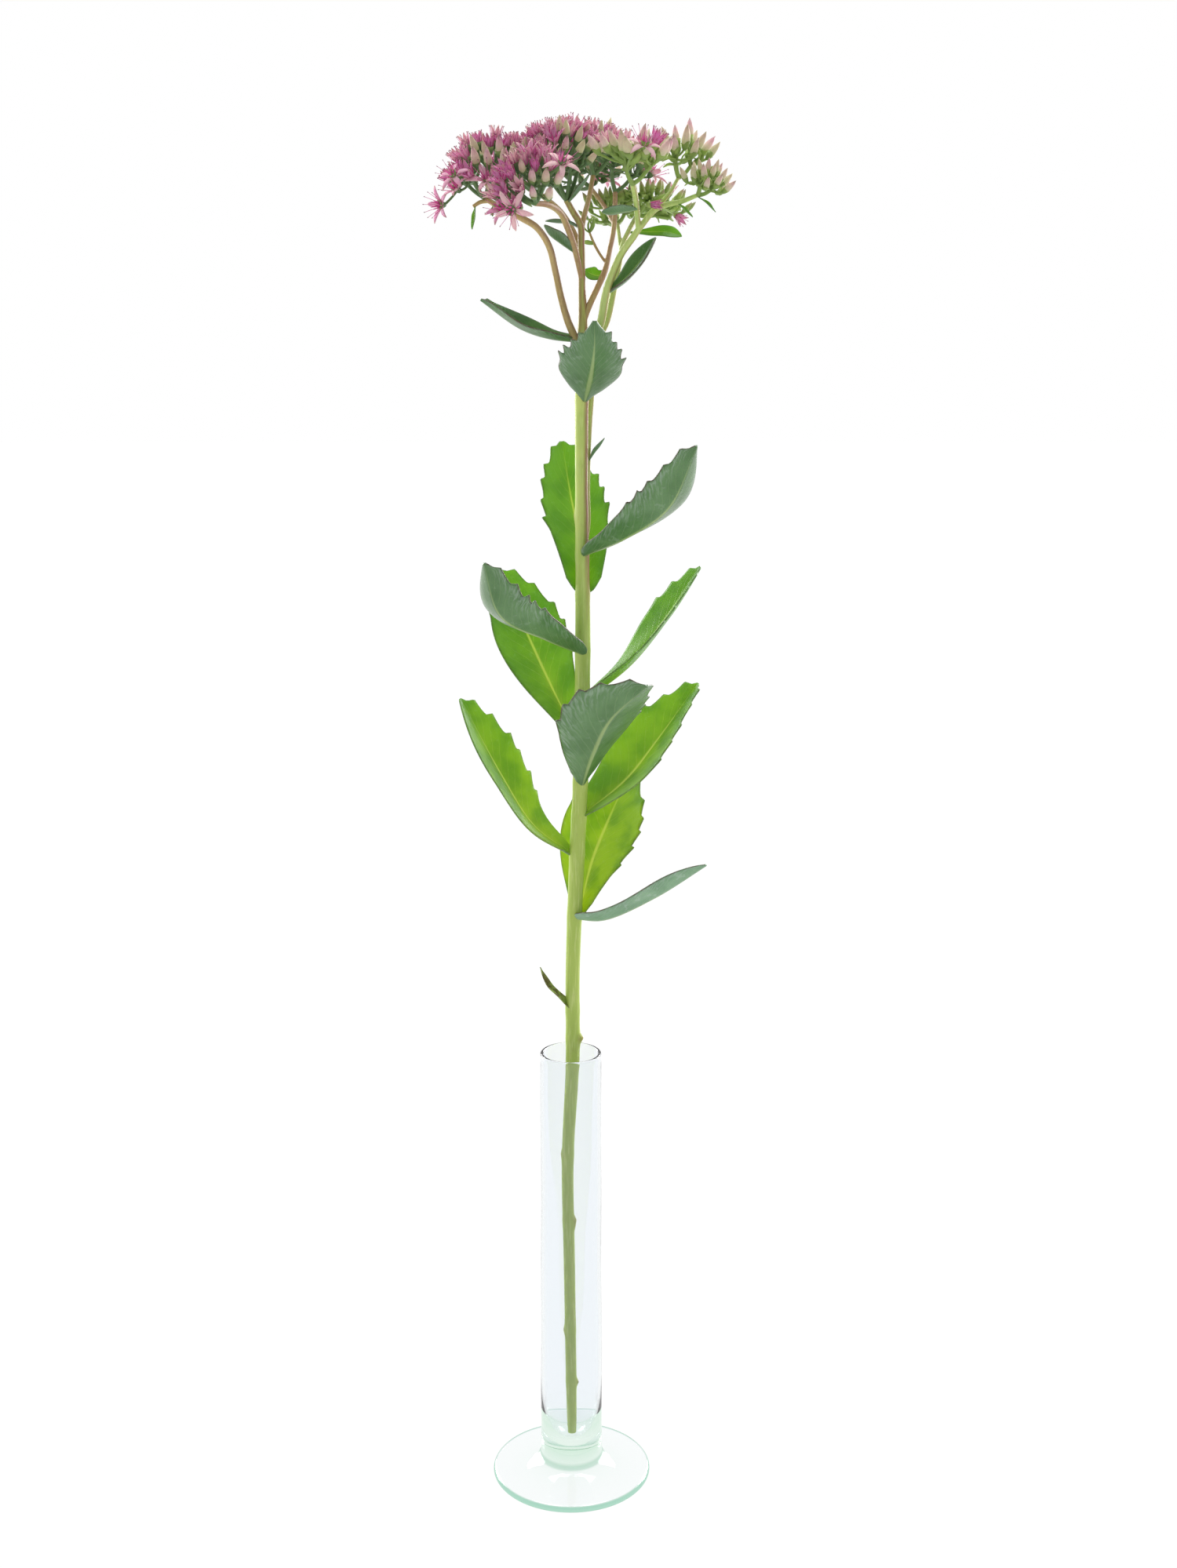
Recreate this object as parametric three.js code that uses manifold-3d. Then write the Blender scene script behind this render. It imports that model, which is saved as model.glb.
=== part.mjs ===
import * as THREE from 'three';
import { mergeVertices } from 'three/addons/utils/BufferGeometryUtils.js';
import Module from 'manifold-3d';

const wasm = await Module();
wasm.setup();

// A cut stonecrop stem that stands in a clear glass stem vase.
// Millimetres. +Z is up, +X is to the right and -Y is the front.
// The origin is the middle of the flat underside of the vase's foot.

// Gap between a piece and the one that carries it
const seatGap = 0.3;
// Points nearer than this are one point
const sliver = 2e-3;
const up = new THREE.Vector3(0, 0, 1);
const goldenAngle = Math.PI * (3 - Math.sqrt(5));

const vase = {
  height: 170.7,
  rimRadius: 11.2,
  baseRadius: 11.6,
  wall: 1.25,
  floorZ: 13.5,
  floorFillet: 4,
  jointZ: 7.2,
  jointCorner: 1.5,
  footRadius: 30,
  footEdgeRound: 1.4,
  shoulders: [[20, 4.4], [13.5, 6.6]],
  sides: 28,
};

// Main stem from the cut end upwards, as [x, y, z, radius]
const stemLine = [
  [0.2, 0, 13.8, 1.8],
  [-0.2, 1.6, 45, 2.1],
  [-0.8, 3.6, 88, 2.2],
  [-1.3, 5.3, 126, 2.3],
  [0.6, 6.8, 165, 2.6],
  [0.7, 7.2, 199, 2.6],
  [2.2, 6.8, 240, 2.8],
  [3.6, 6.2, 271, 2.7],
  [4.5, 5.0, 322, 2.7],
  [4.1, 3.8, 375, 2.2],
  [4.2, 2.6, 407, 2.3],
  [4.3, 2.2, 424, 2.1],
  [4.6, 1.9, 432, 1.6],
  [4.3, 1.6, 443, 1.2],
  [4.1, 1.2, 457, 1.15],
  [3.8, 0.8, 463, 1.15],
  [1.2, -0.1, 467.5, 1.05],
  [-0.8, -1.2, 471, 1.0],
];

// The joint of the stem above the rim, where its lower and upper halves meet
const stemJointZ = 195;

// Leaf scars and resting buds on the stem, as [x, y, z, radius]
const stemNubs = [
  [2.8, 1.3, 37, 1.2],
  [-2.1, 2.4, 59, 1.1],
  [1.4, 4.0, 101.5, 1.3],
  [-3.2, 5.3, 127.5, 1.0],
  [3.0, 7.0, 173.5, 1.6],
  [2.0, 3.9, 367, 1.1],
];

// Flower branches. Each is one piece, made of limbs of [x, y, z, radius] that fork from each other.
const branches = [
  {
    name: 'branch_left',
    limbs: [
      [[3.8, 1.8, 421, 1.2], [1.9, 1.0, 426.4, 1.35], [-0.4, -0.5, 431.8, 1.3], [-2.7, -2.8, 439.8, 1.2],
        [-4.5, -5.5, 448.1, 1.15], [-6.5, -8.8, 456, 1.15], [-10.4, -12, 461.8, 1.1],
        [-15, -13.5, 464.6, 1.1], [-21.5, -12.5, 467.7, 1.0], [-27.4, -8, 471.2, 0.9]],
      [[-26, -9, 470.4, 0.7], [-29, -9, 470, 0.7], [-31.4, -9, 468.6, 0.6]],
    ],
  },
  {
    name: 'branch_front',
    limbs: [
      [[4.1, 1.2, 446, 0.9], [3.0, -0.6, 451, 1.0], [1.9, -2.9, 455.5, 1.1], [-0.3, -7, 461.7, 1.1],
        [-2.6, -12, 466.3, 1.05], [-6.5, -20, 468.6, 1.0], [-10.6, -26, 468.8, 0.9]],
    ],
  },
  {
    name: 'branch_rear_left',
    limbs: [
      [[4.0, 1.3, 454, 0.9], [2, 6, 460, 1.0], [-3, 13, 468, 1.0], [-10, 19, 474, 0.9]],
    ],
  },
  {
    name: 'branch_centre_right',
    limbs: [
      [[3.9, 1.0, 460, 0.9], [4.9, 2.8, 465.5, 0.95], [6.6, 8, 472, 0.85], [8.2, 12, 480, 0.8]],
    ],
  },
  {
    name: 'branch_middle',
    limbs: [
      [[4.5, 1.8, 430.5, 1.0], [6.3, 1.9, 436, 1.15], [9.1, 3.4, 442, 1.1], [12, 6, 448.3, 1.05],
        [13.8, 11, 455.8, 0.9], [15.2, 16.5, 463, 0.9], [15.7, 25, 475, 0.85]],
      [[15.2, 17.5, 464.2, 0.8], [11.5, 26, 471, 0.8], [7, 32, 477, 0.75]],
      [[12.6, 7.8, 450.8, 0.5], [10.4, 8, 453.8, 0.5], [8.4, 8.5, 457.3, 0.5], [6.8, 8.5, 461, 0.4]],
    ],
  },
  {
    name: 'branch_right',
    limbs: [
      [[5.2, 2, 410, 0.9], [6.8, -1.2, 417, 1.2], [8.3, -2.5, 424, 1.35], [10.8, -3.6, 432.2, 1.4],
        [12.5, -4.4, 441.6, 1.4], [14.8, -5, 448.1, 1.3], [17.4, -6.5, 453.7, 1.2], [21.4, -9, 459.2, 1.15],
        [24, -10.5, 463, 1.0]],
      [[22.9, -9.9, 461.2, 0.9], [22.3, -13, 467, 1.0], [21.6, -17, 471.8, 0.95], [20.7, -21, 475, 0.9]],
      [[22.9, -9.9, 461.2, 1.0], [28.3, -11.5, 467.6, 1.05], [32.6, -13, 469.2, 0.95],
        [36.5, -13.5, 469.9, 0.85], [42, -15.5, 471.9, 0.7]],
      [[28.3, -11.5, 467.6, 0.8], [33, -9, 472.8, 0.75], [36.2, -4, 478, 0.65]],
    ],
  },
  {
    name: 'side_stem',
    limbs: [
      [[5.4, 4.6, 356, 0.8], [6.4, 6.9, 363, 0.85], [6.2, 7.0, 375, 0.85], [6.6, 6.4, 391.7, 0.9],
        [7.4, 5.3, 405, 0.95], [9.2, 5.5, 423.9, 1.1], [12.8, 6.6, 432.1, 1.15], [15.2, 8.8, 442.5, 1.1],
        [16.8, 12, 449.9, 1.0], [18, 16, 456.5, 0.9], [20.4, 24, 462, 0.9], [23.5, 31.5, 467.6, 0.9]],
      [[17.6, 14.6, 454.2, 0.7], [17, 22, 460.5, 0.7], [16.5, 29, 464.5, 0.75]],
    ],
  },
];

// Large leaves: the midrib's line from inside the stem to the tip, the blade's width, and the direction
// that its upper side faces at the stem and, where it twists, at the tip. Fold and cup lift its edges.
const leaves = [
  {
    name: 'leaf_upper_left',
    midrib: [[3.6, 2, 426], [-6.5, 1, 427], [-16, 0, 430], [-29.5, -2, 439]],
    width: 10, faces: [0.2, -0.25, 1], fold: 20, base: 0.35,
  },
  {
    name: 'leaf_front_top',
    midrib: [[5.2, 1.2, 406], [7.2, -6, 414], [8.4, -13, 423.5], [8.5, -17, 432]],
    width: 23, faces: [0, 0.7, 0.7], widest: 0.32, base: 0.3,
  },
  {
    name: 'leaf_rear_top',
    midrib: [[5, 6, 339], [3.5, 13, 356.5], [0.3, 20, 371], [-3, 29, 390]],
    width: 23, faces: [0.1, -0.9, 0.4], widest: 0.52, base: 0.5,
  },
  {
    name: 'leaf_right_upper',
    midrib: [[4.8, 2.6, 353.5], [18, -8, 360], [33, -18, 371.5], [42, -24, 392]],
    width: 23, faces: [-0.4, 0.6, 0.7], base: 0.3,
  },
  {
    name: 'leaf_left_front',
    midrib: [[5, 3.6, 318.5], [-8, -8, 325.5], [-23, -18, 335], [-28.3, -22, 353]],
    width: 24, faces: [0.4, 0.6, 0.7], base: 0.3,
  },
  {
    name: 'leaf_left_rear',
    midrib: [[2.6, 6, 287], [-7, 15, 304.5], [-15, 23, 320.5], [-26, 32, 343.5]],
    width: 27, faces: [0.15, -0.9, 0.3],
  },
  {
    name: 'leaf_right_middle',
    midrib: [[5, 5, 302], [21, 10, 313.5], [34, 13, 329], [46, 16, 347]],
    width: 18, faces: [-0.6, 0.1, 0.75], facesTip: [-0.55, -0.4, 0.7],
  },
  {
    name: 'leaf_front_middle',
    midrib: [[4, 4.6, 271], [8, -7, 285], [14, -17, 299], [26, -26, 312]],
    width: 31, faces: [-0.3, 0.75, 0.6],
  },
  {
    name: 'leaf_right_lower',
    midrib: [[4, 7, 258.5], [20, 13, 270], [32, 19, 284], [46.5, 27, 303]],
    width: 27, faces: [-0.55, -0.6, 0.6], fold: 18, widest: 0.45, base: 0.4,
  },
  {
    name: 'leaf_left_lower',
    midrib: [[1.2, 6.6, 244], [-13, 7, 254.5], [-24.8, 9, 272.5], [-39.5, 13, 300]],
    width: 21, faces: [0.6, -0.5, 0.6],
  },
  {
    name: 'leaf_rear_lower',
    midrib: [[3, 8, 220.5], [7.7, 15, 238.5], [14.2, 22, 253.5], [22, 30, 269]],
    width: 31, faces: [-0.3, -0.85, 0.4],
  },
  {
    name: 'leaf_bottom_right',
    midrib: [[1.6, 6, 221], [12, 1, 222], [30, -4, 231.5], [48, -9, 244.5]],
    width: 14, faces: [-0.2, 0.45, 0.9], base: 0.45,
  },
];

// Small leaves, each on the stem or a branch
const smallLeaves = [
  {
    name: 'leaf_scrap',
    midrib: [[0.4, 6.9, 184.5], [-4.5, 5.5, 190.5], [-8.5, 4.5, 195], [-11, 4, 202]],
    width: 4, faces: [0.7, -0.5, 0.6], fold: 30, teeth: 0, widest: 0.2, base: 0.9,
  },
  {
    name: 'leaf_side_stem',
    midrib: [[6.5, 6.3, 385], [8.4, 5, 387.8], [10.2, 4.2, 390], [12, 3.8, 392.8]],
    width: 3, faces: [-0.6, 0.3, 0.7], teeth: 0,
  },
  {
    name: 'leaf_trunk_left',
    midrib: [[2.2, -2.2, 454.8], [-2.3, -3.5, 457.6], [-6, -4.8, 460.2], [-8, -5.5, 463]],
    width: 7.5, faces: [0.4, 0.3, 0.9], teeth: 0, base: 0.4,
  },
  {
    name: 'leaf_trunk_upper',
    midrib: [[3.6, 0.8, 462.5], [0, 2.6, 464], [-4, 3.6, 464.2], [-8, 4, 464.6]],
    width: 4, faces: [0.2, 0.1, 1], teeth: 0, base: 0.4,
  },
  {
    name: 'leaf_trunk_top',
    midrib: [[-0.6, -1.1, 470.4], [2.2, -3.6, 473], [4.8, -5, 475.9], [6.8, -6, 479.1]],
    width: 4.5, faces: [-0.7, 0, 0.6], teeth: 0,
  },
  {
    name: 'leaf_branch_right',
    midrib: [[12.7, -4.5, 441.8], [18.4, -4.8, 445.5], [23.6, -4.4, 451], [28.8, -4, 459]],
    width: 9, faces: [-0.6, -0.5, 0.6], teeth: 0,
  },
  {
    name: 'leaf_branch_middle',
    midrib: [[12, 6.4, 447.8], [9.6, 7, 446.8], [7.2, 7.2, 447.4], [5, 7.2, 448.8]],
    width: 6, faces: [0.2, -0.7, 0.6], fold: 5, teeth: 0, base: 0.4,
  },
  {
    name: 'leaf_fork',
    midrib: [[22.2, -14, 468], [18.5, -15.5, 467.2], [14.7, -17, 466.6], [10.8, -18, 466.6]],
    width: 5.5, faces: [0.2, 0.6, 0.8], fold: 5, teeth: 0,
  },
  {
    name: 'leaf_rear_bright',
    midrib: [[20.4, 24, 461.8], [27, 21.5, 461.6], [33, 19, 461.5], [38.4, 17, 460.1]],
    width: 5, faces: [0, -0.2, 1], fold: 5, teeth: 0, widest: 0.75, base: 0.15,
  },
  {
    name: 'bract_left',
    midrib: [[-30.8, -9, 468.9], [-30.9, -10.2, 466.5], [-31.1, -10.6, 464.2], [-31.7, -11, 461.3]],
    width: 2.4, faces: [-0.8, -0.6, 0], teeth: 0,
  },
  {
    name: 'bract_inner',
    midrib: [[-24.4, -11, 469.3], [-24.7, -13, 468], [-24.7, -13.5, 466.8], [-24.8, -14, 465.3]],
    width: 2, faces: [-0.6, -0.7, 0], teeth: 0,
  },
  {
    name: 'bract_right',
    midrib: [[35.6, -13.4, 469.7], [37.2, -14.5, 468.1], [38.7, -15.5, 466.5], [40.4, -16, 465]],
    width: 2.4, faces: [0.5, -0.3, 0.8], teeth: 0,
  },
  {
    name: 'bract_outer',
    midrib: [[41.8, -15.4, 471.7], [44.6, -17.2, 469.6], [46.1, -18.3, 468], [47.7, -19, 466.4]],
    width: 2.2, faces: [0.5, -0.3, 0.8], teeth: 0,
  },
];

// What all leaves share. A narrow leaf is thinner and has smaller teeth.
const leafForm = {
  tipShare: 0.07,
  baseSwell: 1.4,
  tipSwell: 0.8,
  thickness: 1.3,
  thicknessShare: 0.14,
  ribDepth: 0.5,
  fold: 12,
  cup: 20,
  widest: 0.6,
  base: 0.22,
  teeth: 4,
  fullToothWidth: 20,
  toothDepth: 1.3,
  toothStart: 0.46,
  toothEnd: 0.93,
  smoothStations: 5,
  plainStations: [0, 0.12, 0.3, 0.5, 0.7, 0.86],
};

// Flower clusters: the stalk's foot on its branch, the middle of the dome of flowers and the way it leans,
// the dome's radius and how far its rim drops, the number of florets, the share that is open, and their size.
// Singles are open flowers that stand out from the dome, as [x, y, z] and the way they look.
const cymes = [
  { name: 'cyme_left_outer', foot: [-27.4, -8, 471.2], top: [-30, -8, 485.5], leans: [-0.45, -0.15, 0.85],
    spread: 13, drop: 9, florets: 38, open: 0.6, size: 1,
    singles: [[[-36, -17, 476.5], [-0.5, -0.7, 0.5]], [[-39.5, -13, 470], [-0.8, -0.5, 0]]] },
  { name: 'cyme_left_front', foot: [-10.6, -26, 468.8], top: [-14.5, -28, 479.5], leans: [-0.3, -0.5, 0.8],
    spread: 11.5, drop: 9, florets: 34, open: 0.6, size: 1,
    singles: [[[-18.5, -35, 467.5], [-0.3, -0.9, -0.2]]] },
  { name: 'cyme_centre_top', foot: [-0.8, -1.2, 471], top: [-3.5, -4, 492], leans: [0, -0.15, 1],
    spread: 12, drop: 9, florets: 40, open: 0.6, size: 1,
    singles: [[[-2.5, -18, 478.5], [0, -0.6, 0.8]]] },
  { name: 'cyme_centre_right', foot: [8.2, 12, 480], top: [10, 8, 491.5], leans: [0.1, -0.1, 1],
    spread: 9, drop: 6, florets: 24, open: 0.5, size: 1, singles: [] },
  { name: 'cyme_centre_rear', foot: [15.7, 25, 475], top: [18, 27, 488], leans: [0.15, 0.2, 1],
    spread: 11, drop: 7, florets: 24, open: 0.5, size: 1, singles: [] },
  { name: 'cyme_rear_left', foot: [-10, 19, 474], top: [-15, 22, 486.5], leans: [-0.3, 0.3, 1],
    spread: 12, drop: 7, florets: 32, open: 0.7, size: 1, singles: [] },
  { name: 'cyme_rear_centre', foot: [7, 32, 477], top: [1, 38, 484], leans: [-0.2, 0.5, 1],
    spread: 10, drop: 6, florets: 22, open: 0.6, size: 1, singles: [] },
  { name: 'cyme_right_front', foot: [20.7, -21, 475], top: [21, -22, 485.5], leans: [0.05, -0.1, 1],
    spread: 11, drop: 3, florets: 20, open: 0.1, size: 1,
    singles: [[[25.5, -25, 482.5], [0.1, -0.3, 0.9]]] },
  { name: 'cyme_right_middle', foot: [36.2, -4, 478], top: [37.7, -3.2, 488], leans: [0.1, 0, 1],
    spread: 8, drop: 4, florets: 14, open: 0, size: 1, singles: [] },
  { name: 'cyme_right_outer', foot: [42, -15.5, 471.9], top: [46.5, -16.5, 479], leans: [0.3, -0.1, 1],
    spread: 6.5, drop: 6, florets: 18, open: 0, size: 0.75, singles: [] },
  { name: 'cyme_right_rear', foot: [23.5, 31.5, 467.6], top: [30, 33, 475], leans: [0.2, 0.2, 1],
    spread: 12, drop: 6, florets: 28, open: 0.1, size: 0.7, singles: [] },
  { name: 'cyme_rear_inner', foot: [16.5, 29, 464.5], top: [14, 36, 471.5], leans: [-0.1, 0.4, 1],
    spread: 9, drop: 4, florets: 18, open: 0, size: 0.7, singles: [] },
];

// Flowers stand on every third place of a dome's spiral, so that they don't run into each other.
// Open and closed ones are shared out along it by the golden section.
const floretForm = {
  pitch: 3,
  lift: 0.3,
  goldenShare: 0.618034,
  firstOpen: 0.3,
  stalkRadius: 0.55,
  stubRadius: 0.9,
  stubLength: 2.5,
  hubShare: 0.4,
  hubSpread: 0.4,
  floretsPerHub: 4,
  tipRadius: 0.25,
  bud: { radius: 1.6, height: 6.2 },
  star: { radius: 2.6, height: 5 },
  middleShare: 0.45,
};

const colours = {
  glass: 0xcfe6dc,
  stem: 0xa3bf5c,
  branch: 0x9a8a5a,
  leaf: 0x5a8a48,
  dryLeaf: 0x9aa060,
  cyme: 0xc978ac,
};

function degrees(value) {
  return value * Math.PI / 180;
}

// A closed body from rings of points that all have the same count, with a fan on each end
function loftedGeometry(rings) {
  const sides = rings[0].length;
  const positions = [];
  const index = [];
  for (const ring of rings) {
    for (const point of ring) positions.push(point.x, point.y, point.z);
  }
  for (let row = 0; row < rings.length - 1; row++) {
    for (let side = 0; side < sides; side++) {
      const a = row * sides + side;
      const b = row * sides + (side + 1) % sides;
      index.push(a, b, b + sides, a, b + sides, a + sides);
    }
  }
  for (let side = 1; side < sides - 1; side++) {
    const last = (rings.length - 1) * sides;
    index.push(0, side + 1, side);
    index.push(last, last + side, last + side + 1);
  }
  const geometry = new THREE.BufferGeometry();
  geometry.setAttribute('position', new THREE.Float32BufferAttribute(positions, 3));
  geometry.setIndex(index);
  return geometry;
}

function signedVolume(geometry) {
  const position = geometry.attributes.position;
  const index = geometry.index;
  const corners = [new THREE.Vector3(), new THREE.Vector3(), new THREE.Vector3()];
  let volume = 0;
  for (let i = 0; i < index.count; i += 3) {
    corners.forEach((corner, k) => corner.fromBufferAttribute(position, index.getX(i + k)));
    volume += corners[0].dot(corners[1].clone().cross(corners[2])) / 6;
  }
  return volume;
}

// Faces out whichever way the geometry was wound, with points nearer than merge joined
function solid(source, merge = 1e-5) {
  let geometry = source.clone();
  geometry.deleteAttribute('normal');
  geometry.deleteAttribute('uv');
  geometry = mergeVertices(geometry, merge);
  const triVerts = Uint32Array.from(geometry.index.array);
  if (signedVolume(geometry) < 0) {
    for (let i = 0; i < triVerts.length; i += 3) {
      [triVerts[i + 1], triVerts[i + 2]] = [triVerts[i + 2], triVerts[i + 1]];
    }
  }
  const vertProperties = Float32Array.from(geometry.attributes.position.array);
  return new wasm.Manifold(new wasm.Mesh({ numProp: 3, vertProperties, triVerts }));
}

// The biggest connected body, without crumbs or sealed hollows
function biggest(body) {
  const pieces = body.decompose();
  pieces.sort((a, b) => b.volume() - a.volume());
  return pieces[0];
}

function geometryOf(body) {
  const mesh = body.getMesh();
  const geometry = new THREE.BufferGeometry();
  geometry.setAttribute('position', new THREE.Float32BufferAttribute(mesh.vertProperties, 3));
  geometry.setIndex(Array.from(mesh.triVerts));
  geometry.computeVertexNormals();
  return geometry;
}

// A named mesh of the body, without the slivers that cuts leave
function meshOf(name, body, colour, roughness = 0.55) {
  const material = new THREE.MeshStandardMaterial({ color: colour, roughness, metalness: 0 });
  const merged = solid(geometryOf(biggest(body)), sliver);
  const mesh = new THREE.Mesh(geometryOf(biggest(merged)), material);
  mesh.name = name;
  return mesh;
}

// A smooth curve through points that start with x, y and z
function curveOf(line) {
  const points = line.map(([x, y, z]) => new THREE.Vector3(x, y, z));
  return new THREE.CatmullRomCurve3(points, false, 'centripetal');
}

// A tapering round limb along a line of [x, y, z, radius], fattened and lengthened by grow
function limb(line, { sides = 6, grow = 0 } = {}) {
  const curve = curveOf(line);
  const steps = line.length - 1;
  const frames = curve.computeFrenetFrames(steps, false);
  const rings = [];
  for (let step = 0; step <= steps; step++) {
    const radius = line[step][3] + grow;
    const centre = curve.getPoint(step / steps);
    const tangent = curve.getTangent(step / steps);
    if (step === 0) centre.addScaledVector(tangent, -grow);
    if (step === steps) centre.addScaledVector(tangent, grow);
    const ring = [];
    for (let side = 0; side < sides; side++) {
      const angle = 2 * Math.PI * side / sides;
      ring.push(centre.clone()
        .addScaledVector(frames.normals[step], Math.cos(angle) * radius)
        .addScaledVector(frames.binormals[step], Math.sin(angle) * radius));
    }
    rings.push(ring);
  }
  return solid(loftedGeometry(rings));
}

function arcPoints(x, y, radius, from, to, steps) {
  const points = [];
  for (let step = 0; step <= steps; step++) {
    const angle = degrees(THREE.MathUtils.lerp(from, to, step / steps));
    points.push(new THREE.Vector2(x + radius * Math.cos(angle), y + radius * Math.sin(angle)));
  }
  return points;
}

function glassVase() {
  const v = vase;
  const boreBase = v.baseRadius - v.wall;
  const profile = [
    new THREE.Vector2(0, 0),
    ...arcPoints(v.footRadius - v.footEdgeRound, v.footEdgeRound, v.footEdgeRound, -90, 90, 4),
    ...v.shoulders.map(([radius, z]) => new THREE.Vector2(radius, z)),
    ...arcPoints(v.baseRadius - v.jointCorner, v.jointZ + v.jointCorner, v.jointCorner, -70, 0, 3),
    ...arcPoints(v.rimRadius - v.wall / 2, v.height - v.wall / 2, v.wall / 2, 0, 180, 4),
    ...arcPoints(boreBase - v.floorFillet, v.floorZ + v.floorFillet, v.floorFillet, 0, -90, 4),
    new THREE.Vector2(0, v.floorZ),
  ];
  const lathe = new THREE.LatheGeometry(profile, v.sides);
  lathe.rotateX(Math.PI / 2);
  return solid(lathe);
}

// Half-width of the blade at share t of its length, as a share of half the leaf's width
function bladeShare(t, widest, base) {
  const { tipShare, baseSwell, tipSwell } = leafForm;
  if (t < widest) return base + (1 - base) * Math.sin(Math.PI / 2 * t / widest) ** baseSwell;
  const past = (t - widest) / (1 - widest);
  return tipShare + (1 - tipShare) * Math.cos(Math.PI / 2 * past) ** tipSwell;
}

// Stations along the blade as [t, tooth], where tooth 1 is a tooth's point and 0 the notch past it
function bladeStations(teeth) {
  const { toothStart, toothEnd, smoothStations, plainStations } = leafForm;
  if (teeth === 0) return [...plainStations, 1].map((t) => [t, 0]);
  const stations = [];
  for (let i = 0; i < smoothStations; i++) stations.push([toothStart * i / smoothStations, 0]);
  const pitch = (toothEnd - toothStart) / teeth;
  for (let tooth = 0; tooth < teeth; tooth++) {
    stations.push([toothStart + pitch * (tooth + 0.75), 1]);
    stations.push([toothStart + pitch * (tooth + 0.95), 0]);
  }
  stations.push([1, 0]);
  return stations;
}

// Midrib frames from the stem to the tip: centre, side to the left and upper normal
function bladeFrames(leaf, stations) {
  const curve = curveOf(leaf.midrib);
  const facesStem = new THREE.Vector3(...leaf.faces);
  const facesTip = new THREE.Vector3(...(leaf.facesTip ?? leaf.faces));
  return stations.map(([t]) => {
    const along = curve.getTangentAt(t);
    const faces = facesStem.clone().lerp(facesTip, t);
    const side = faces.cross(along).normalize();
    return { centre: curve.getPointAt(t), side, normal: along.cross(side) };
  });
}

// A leaf's blade with its rib beneath, fattened by grow
function leafBody(leaf, grow = 0) {
  const { fold, cup, teeth, widest, base } = { ...leafForm, ...leaf };
  const stations = bladeStations(teeth);
  const width = leaf.width + 2 * grow;
  const thickness = Math.min(leafForm.thickness, leaf.width * leafForm.thicknessShare) + 2 * grow;
  const rings = bladeFrames(leaf, stations).map(({ centre, side, normal }, i) => {
    const [t, tooth] = stations[i];
    const depth = tooth * leafForm.toothDepth * Math.min(1, width / leafForm.fullToothWidth);
    const half = width / 2 * bladeShare(t, widest, base) + depth;
    const point = (q, lift) => {
      const reach = Math.abs(q) * half;
      const angle = degrees(fold + cup * Math.abs(q) / 2);
      return centre.clone()
        .addScaledVector(side, Math.sign(q) * reach * Math.cos(angle))
        .addScaledVector(normal, reach * Math.sin(angle) + lift * thickness / 2);
    };
    const rib = 1 + leafForm.ribDepth * (1 - t);
    return [point(1, 0), point(0, 1), point(-1, 0), point(-0.5, -0.8), point(0, -rib), point(0.5, -0.8)];
  });
  return solid(loftedGeometry(rings));
}

// Two directions across an axis
function acrossAxis(axis) {
  const right = new THREE.Vector3(1, 0, 0).addScaledVector(axis, -axis.x).normalize();
  return [right, axis.clone().cross(right)];
}

// The corners of a triangle about an axis
function cornersAbout(centre, axis, radius) {
  const [right, back] = acrossAxis(axis);
  return [0, 120, 240].map((angle) => centre.clone()
    .addScaledVector(right, radius * Math.cos(degrees(angle)))
    .addScaledVector(back, radius * Math.sin(degrees(angle))));
}

// Where each floret of a cluster stands, which way it looks and whether it is open
function floretPlaces(cyme) {
  const { pitch, lift, goldenShare, firstOpen } = floretForm;
  const top = new THREE.Vector3(...cyme.top);
  const axis = new THREE.Vector3(...cyme.leans).normalize();
  const [right, back] = acrossAxis(axis);
  const places = cyme.singles.map(([at, looks]) => ({
    base: new THREE.Vector3(...at),
    looks: new THREE.Vector3(...looks).normalize(),
    open: true,
  }));
  for (let i = 0; i < cyme.florets; i += pitch) {
    const share = Math.sqrt((i + 0.5) / cyme.florets);
    const angle = i * goldenAngle;
    const outward = right.clone().multiplyScalar(Math.cos(angle)).addScaledVector(back, Math.sin(angle));
    const base = top.clone()
      .addScaledVector(outward, share * cyme.spread)
      .addScaledVector(axis, -cyme.drop * share * share);
    const looks = axis.clone().addScaledVector(outward, share).addScaledVector(up, lift).normalize();
    places.push({ base, looks, open: (i * goldenShare + firstOpen) % 1 < cyme.open });
  }
  return places;
}

// A closed bud or an open star on its stalk, from the hub out to its tip
function floretBody(hub, { base, looks, open }, size) {
  const { star, bud, stalkRadius, tipRadius, middleShare } = floretForm;
  const { radius, height } = open ? star : bud;
  const stalk = base.clone().sub(hub).normalize();
  const bend = stalk.clone().add(looks).normalize();
  return solid(loftedGeometry([
    cornersAbout(hub, stalk, stalkRadius),
    cornersAbout(base, bend, stalkRadius),
    cornersAbout(base.clone().addScaledVector(looks, middleShare * height * size), looks, radius * size),
    cornersAbout(base.clone().addScaledVector(looks, height * size), looks, tipRadius),
  ]));
}

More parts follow.
